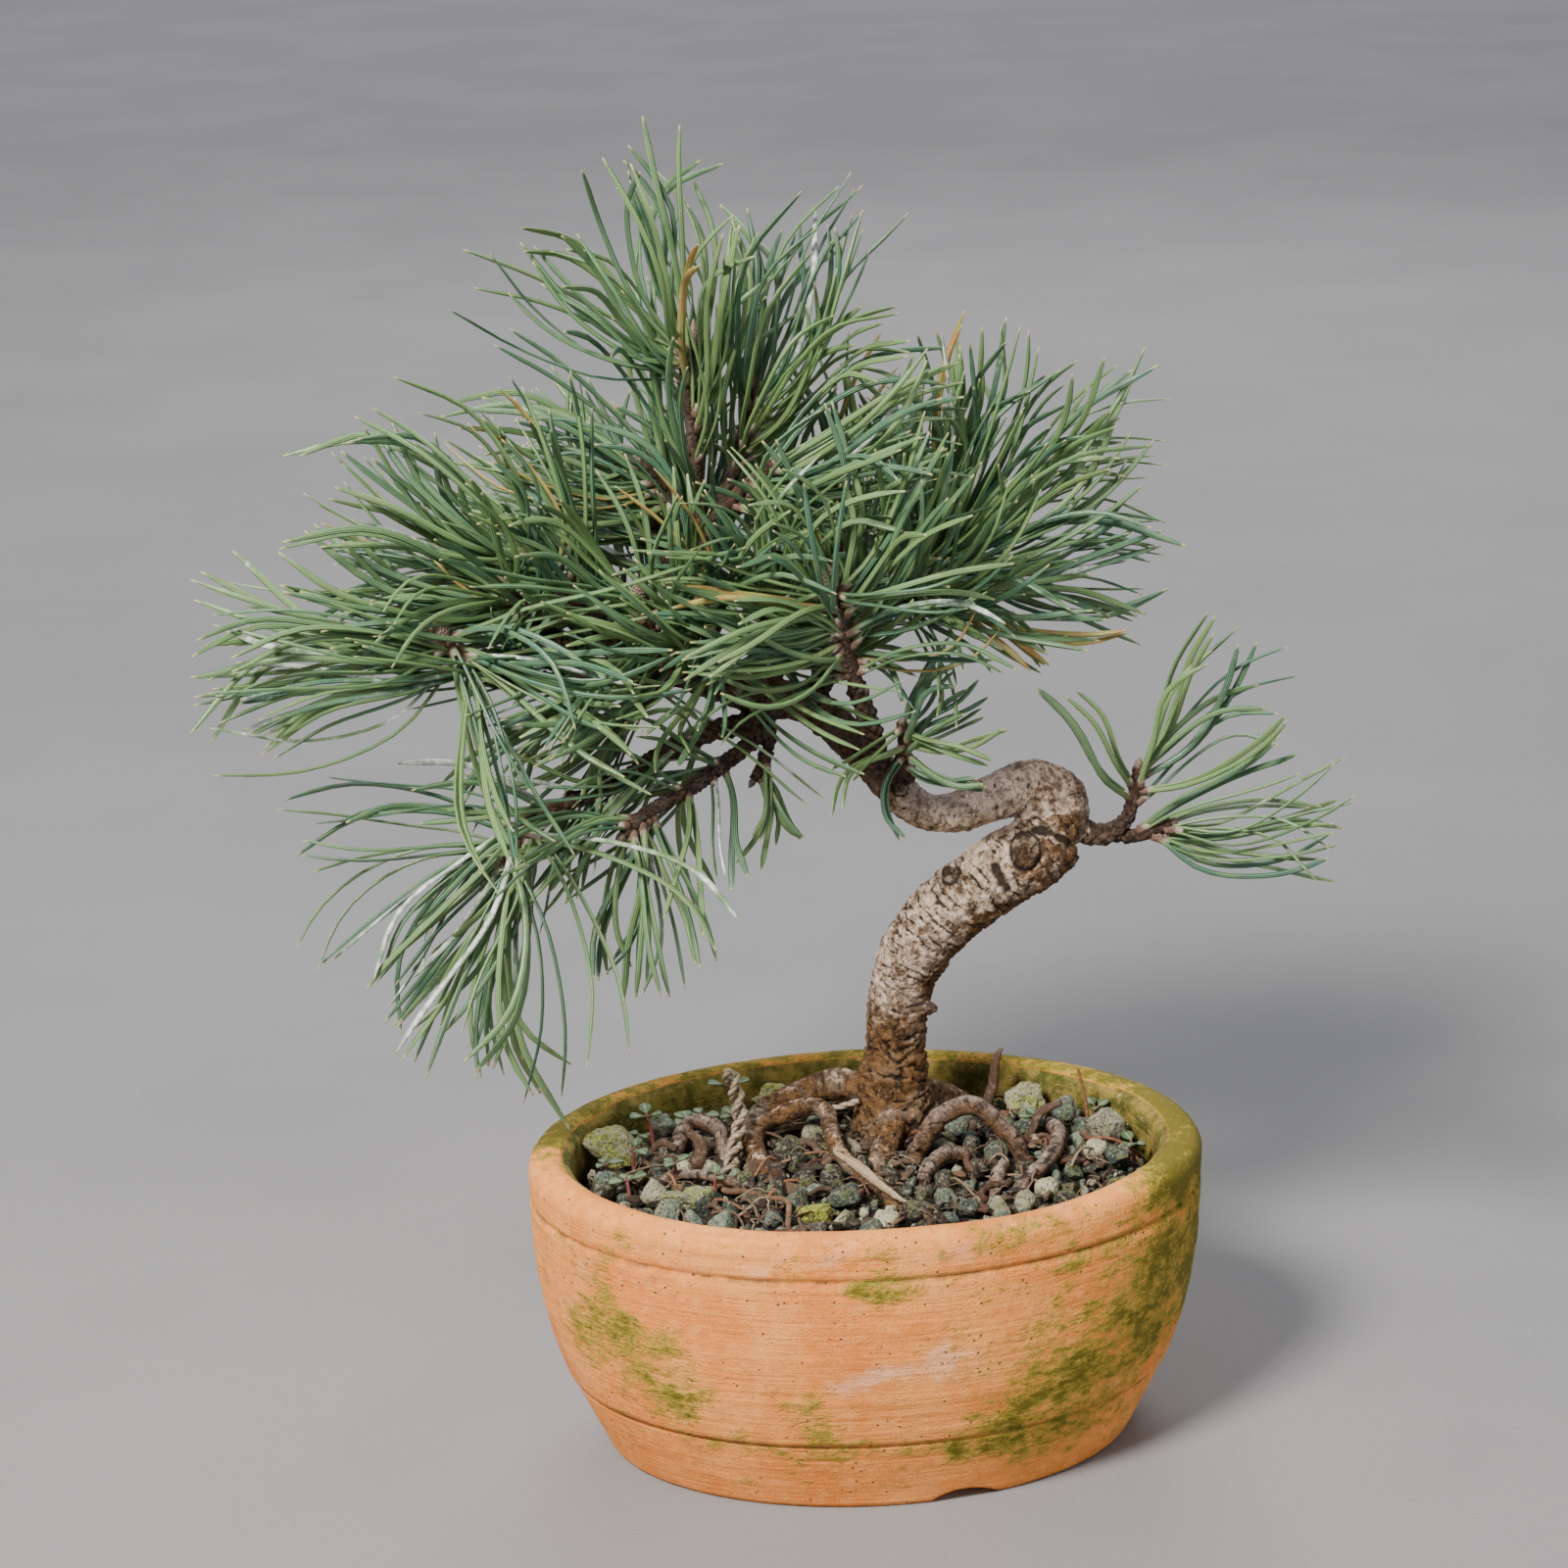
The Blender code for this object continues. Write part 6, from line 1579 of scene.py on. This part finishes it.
def between(rng, pairs, shoot, count):
    """More middle lines, each between two of the given ones, some from further down the shoot."""
    made = []
    back = np.array(shoot[0], float) - shoot[1]
    while len(made) < count:
        first, second = (pairs[i] for i in rng.integers(0, len(pairs), 2))
        ways = [unit(line[-1] - line[0]) for line in (first, second)]
        if ways[0] @ ways[1] < 0.45:
            continue
        share = rng.uniform(0.25, 0.75)
        mixed = first * (1 - share) + second * share
        tilt = Matrix.Rotation(rng.normal(0, 0.16), 3, Vector(rng.normal(size=3)))
        mixed = mixed[0] + (mixed - mixed[0]) @ np.array(tilt).T
        length = np.linalg.norm(first[-1] - first[0])
        stretch = length / np.linalg.norm(mixed[-1] - mixed[0]) * rng.uniform(0.85, 1.06)
        foot = mixed[0] + back * rng.uniform(0, 1.0)
        made.append(foot + (mixed - mixed[0]) * min(stretch, 1.5))
    return made


def add_shoot(shape, line):
    """The shoot: knobbly with the cushions that old needles leave."""
    path = curve(line, 0.6)
    first = path[0] - unit(path[1] - path[0]) * 0.9
    path = np.vstack([first, path])
    gone = distance_along(path)
    around = 18
    points, faces, middle = round_tube(path, around)
    turn = crosswise(even_turns(around), len(path))
    along = lengthwise(gone, around)
    size = lengthwise(np.interp(gone, [0, gone[-1]], [1.75, 1.25]), around)
    knobs = np.cos(turn * 2.5 + along * 1.9) * np.cos(turn * 2.5 - along * 1.9)
    radius = size * (1 + 0.20 * np.abs(knobs)) + 0.12 * noise(points, 1.0, 91)
    points = middle + (points - middle) * radius[:, None]
    # Painted shade in the grooves between the cushions.
    shape.add(points, faces, 2, twig=1.0, dent=0.75 * ease(-np.abs(knobs), -0.3, -0.02))
    return path[-1], unit(path[-1] - path[-3])


def add_bud(shape, foot, way, radius, length, rng):
    """A pointed bud of scales that overlap in spirals."""
    rings, around = 34, 30
    share = np.linspace(0, 1, rings)
    path = foot + way * ((share - 0.08) * length)[:, None]
    points, faces, middle = round_tube(path, around, unit(rng.normal(size=3)))
    turn = crosswise(np.arange(around) / around, rings)
    up = lengthwise(share, around)
    outline = radius * np.sin(np.pi * np.clip(0.20 + 0.80 * up, 0, 1)) ** 0.8 * (1 - 0.25 * up)
    first, second = (up * 7 + turn * 5) % 1, (up * 7 - turn * 8) % 1
    scale = np.maximum(first, second)
    radii = outline * (1 + 0.22 * (scale - 0.6)) + 0.05
    points = middle + (points - middle) * radii[:, None]
    shape.add(points, faces, 1, edge=np.clip(scale * 1.1 - 0.1, 0, 1))


def make_stray_needles(needles, scales):
    """Single pairs along the barer branches, below the tufts."""
    rng = seeded("strays")
    shape = Shape()
    for name, count in STRAYS.items():
        path = curve(BRANCHES[name], 1.0)
        for _ in range(count):
            at = rng.integers(len(path) // 3, len(path) - 1)
            ahead = unit(path[at + 1, :3] - path[at, :3])
            way = unit(ahead * 0.9 + rng.normal(size=3) * (0.6, 0.6, 0.7) - UP * 0.15)
            foot = path[at, :3] + way * path[at, 3] * 0.8
            length = rng.uniform(26, 48)
            bow = rng.normal(size=3) * length * 0.07
            line = [foot, foot + way * length * 0.33 + bow, foot + way * length * 0.66 + bow,
                    foot + way * length - UP * length * rng.uniform(0.0, 0.25)]
            add_pair(shape, rng, np.array(line), STRAY_BLEACHED)
    place(shape.build("branch_needles", needles, scales), "needles")


def make_tufts(bark):
    """A tuft of needles round each shoot, with a bud at its tip."""
    needles, scales = needle_look(), scale_look()
    make_stray_needles(needles, scales)
    for name, line in SHOOTS.items():
        rng = seeded(f"tuft {name}")
        shape = Shape()
        pairs = solid_needles(f"needles_{name}")
        more = between(rng, pairs, line, round(FILL.get(name, USUAL_FILL) * len(pairs)))
        for pair in pairs + more:
            add_pair(shape, rng, pair, BLEACHED.get(name, USUAL_BLEACHED))
        tip, way = add_shoot(shape, line)
        add_bud(shape, tip, way, *BUDS.get(name, SMALL_BUD), rng)
        place(shape.build(f"tuft_{name}", needles, scales, bark), "needles", f"needles_{name}")


# ---- camera, light and floor


def make_camera():
    """A camera a little left of the front and above it, tilted slightly."""
    back = Vector((math.sin(VIEW_TURN) * math.cos(VIEW_RISE), -math.cos(VIEW_TURN) * math.cos(VIEW_RISE),
                   math.sin(VIEW_RISE)))
    right = Vector((math.cos(VIEW_TURN), math.sin(VIEW_TURN), 0))
    up = back.cross(right)
    place_mm = right * VIEW_AIM[0] + Vector((0, 0, VIEW_AIM[1])) + back * VIEW_DISTANCE
    turned_right = right * math.cos(VIEW_ROLL) + up * math.sin(VIEW_ROLL)
    turned_up = up * math.cos(VIEW_ROLL) - right * math.sin(VIEW_ROLL)
    pose = Matrix((turned_right, turned_up, back)).transposed().to_4x4()
    pose.translation = place_mm * MM
    data = bpy.data.cameras.new("camera")
    data.lens = LENS
    data.sensor_width = SENSOR
    data.clip_start = 0.01
    camera = bpy.data.objects.new("camera", data)
    camera.matrix_world = pose
    bpy.context.scene.collection.objects.link(camera)
    bpy.context.scene.camera = camera


def make_light(name, place_m, aim_m, size, power, colour):
    """A round, soft light that looks at its aim."""
    data = bpy.data.lights.new(name, "AREA")
    data.shape = "DISK"
    data.size = size
    data.energy = power
    data.color = colour
    light = bpy.data.objects.new(name, data)
    light.location = place_m
    light.rotation_euler = (Vector(aim_m) - Vector(place_m)).to_track_quat("-Z", "Y").to_euler()
    bpy.context.scene.collection.objects.link(light)


def make_stage():
    """Soft lights, a pale sky and a floor."""
    for name, settings in LIGHTS.items():
        make_light(name, *settings)
    world = bpy.data.worlds.new("world")
    world.use_nodes = True
    background = world.node_tree.nodes["Background"]
    background.inputs["Color"].default_value = SKY
    background.inputs["Strength"].default_value = SKY_STRENGTH
    bpy.context.scene.world = world
    count = FLOOR_TILES
    line = np.linspace(-FLOOR_HALF, FLOOR_HALF, count + 1)
    across, deep = np.meshgrid(line, line)
    points = np.stack([across.ravel(), deep.ravel(), np.zeros(across.size)], axis=1)
    row, column = np.divmod(np.arange(count * count), count)
    first = row * (count + 1) + column
    faces = np.stack([first, first + 1, first + count + 2, first + count + 1], axis=1)
    make("floor", points, faces.tolist(), [floor_look()])


# ---- the whole


make_camera()
make_pot()
for side in ("left", "right"):
    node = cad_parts[f"drain_screen_{side}"]
    node.material_slots[0].material = screen_look()
make_soil()
bark = bark_look()
make_trunk(bark)
make_roots(bark)
stone = stone_look()
make_big_stones(stone)
make_gravel(stone)
make_litter(litter_look())
make_tie()
make_seedlings()
make_tufts(bark)
make_stage()
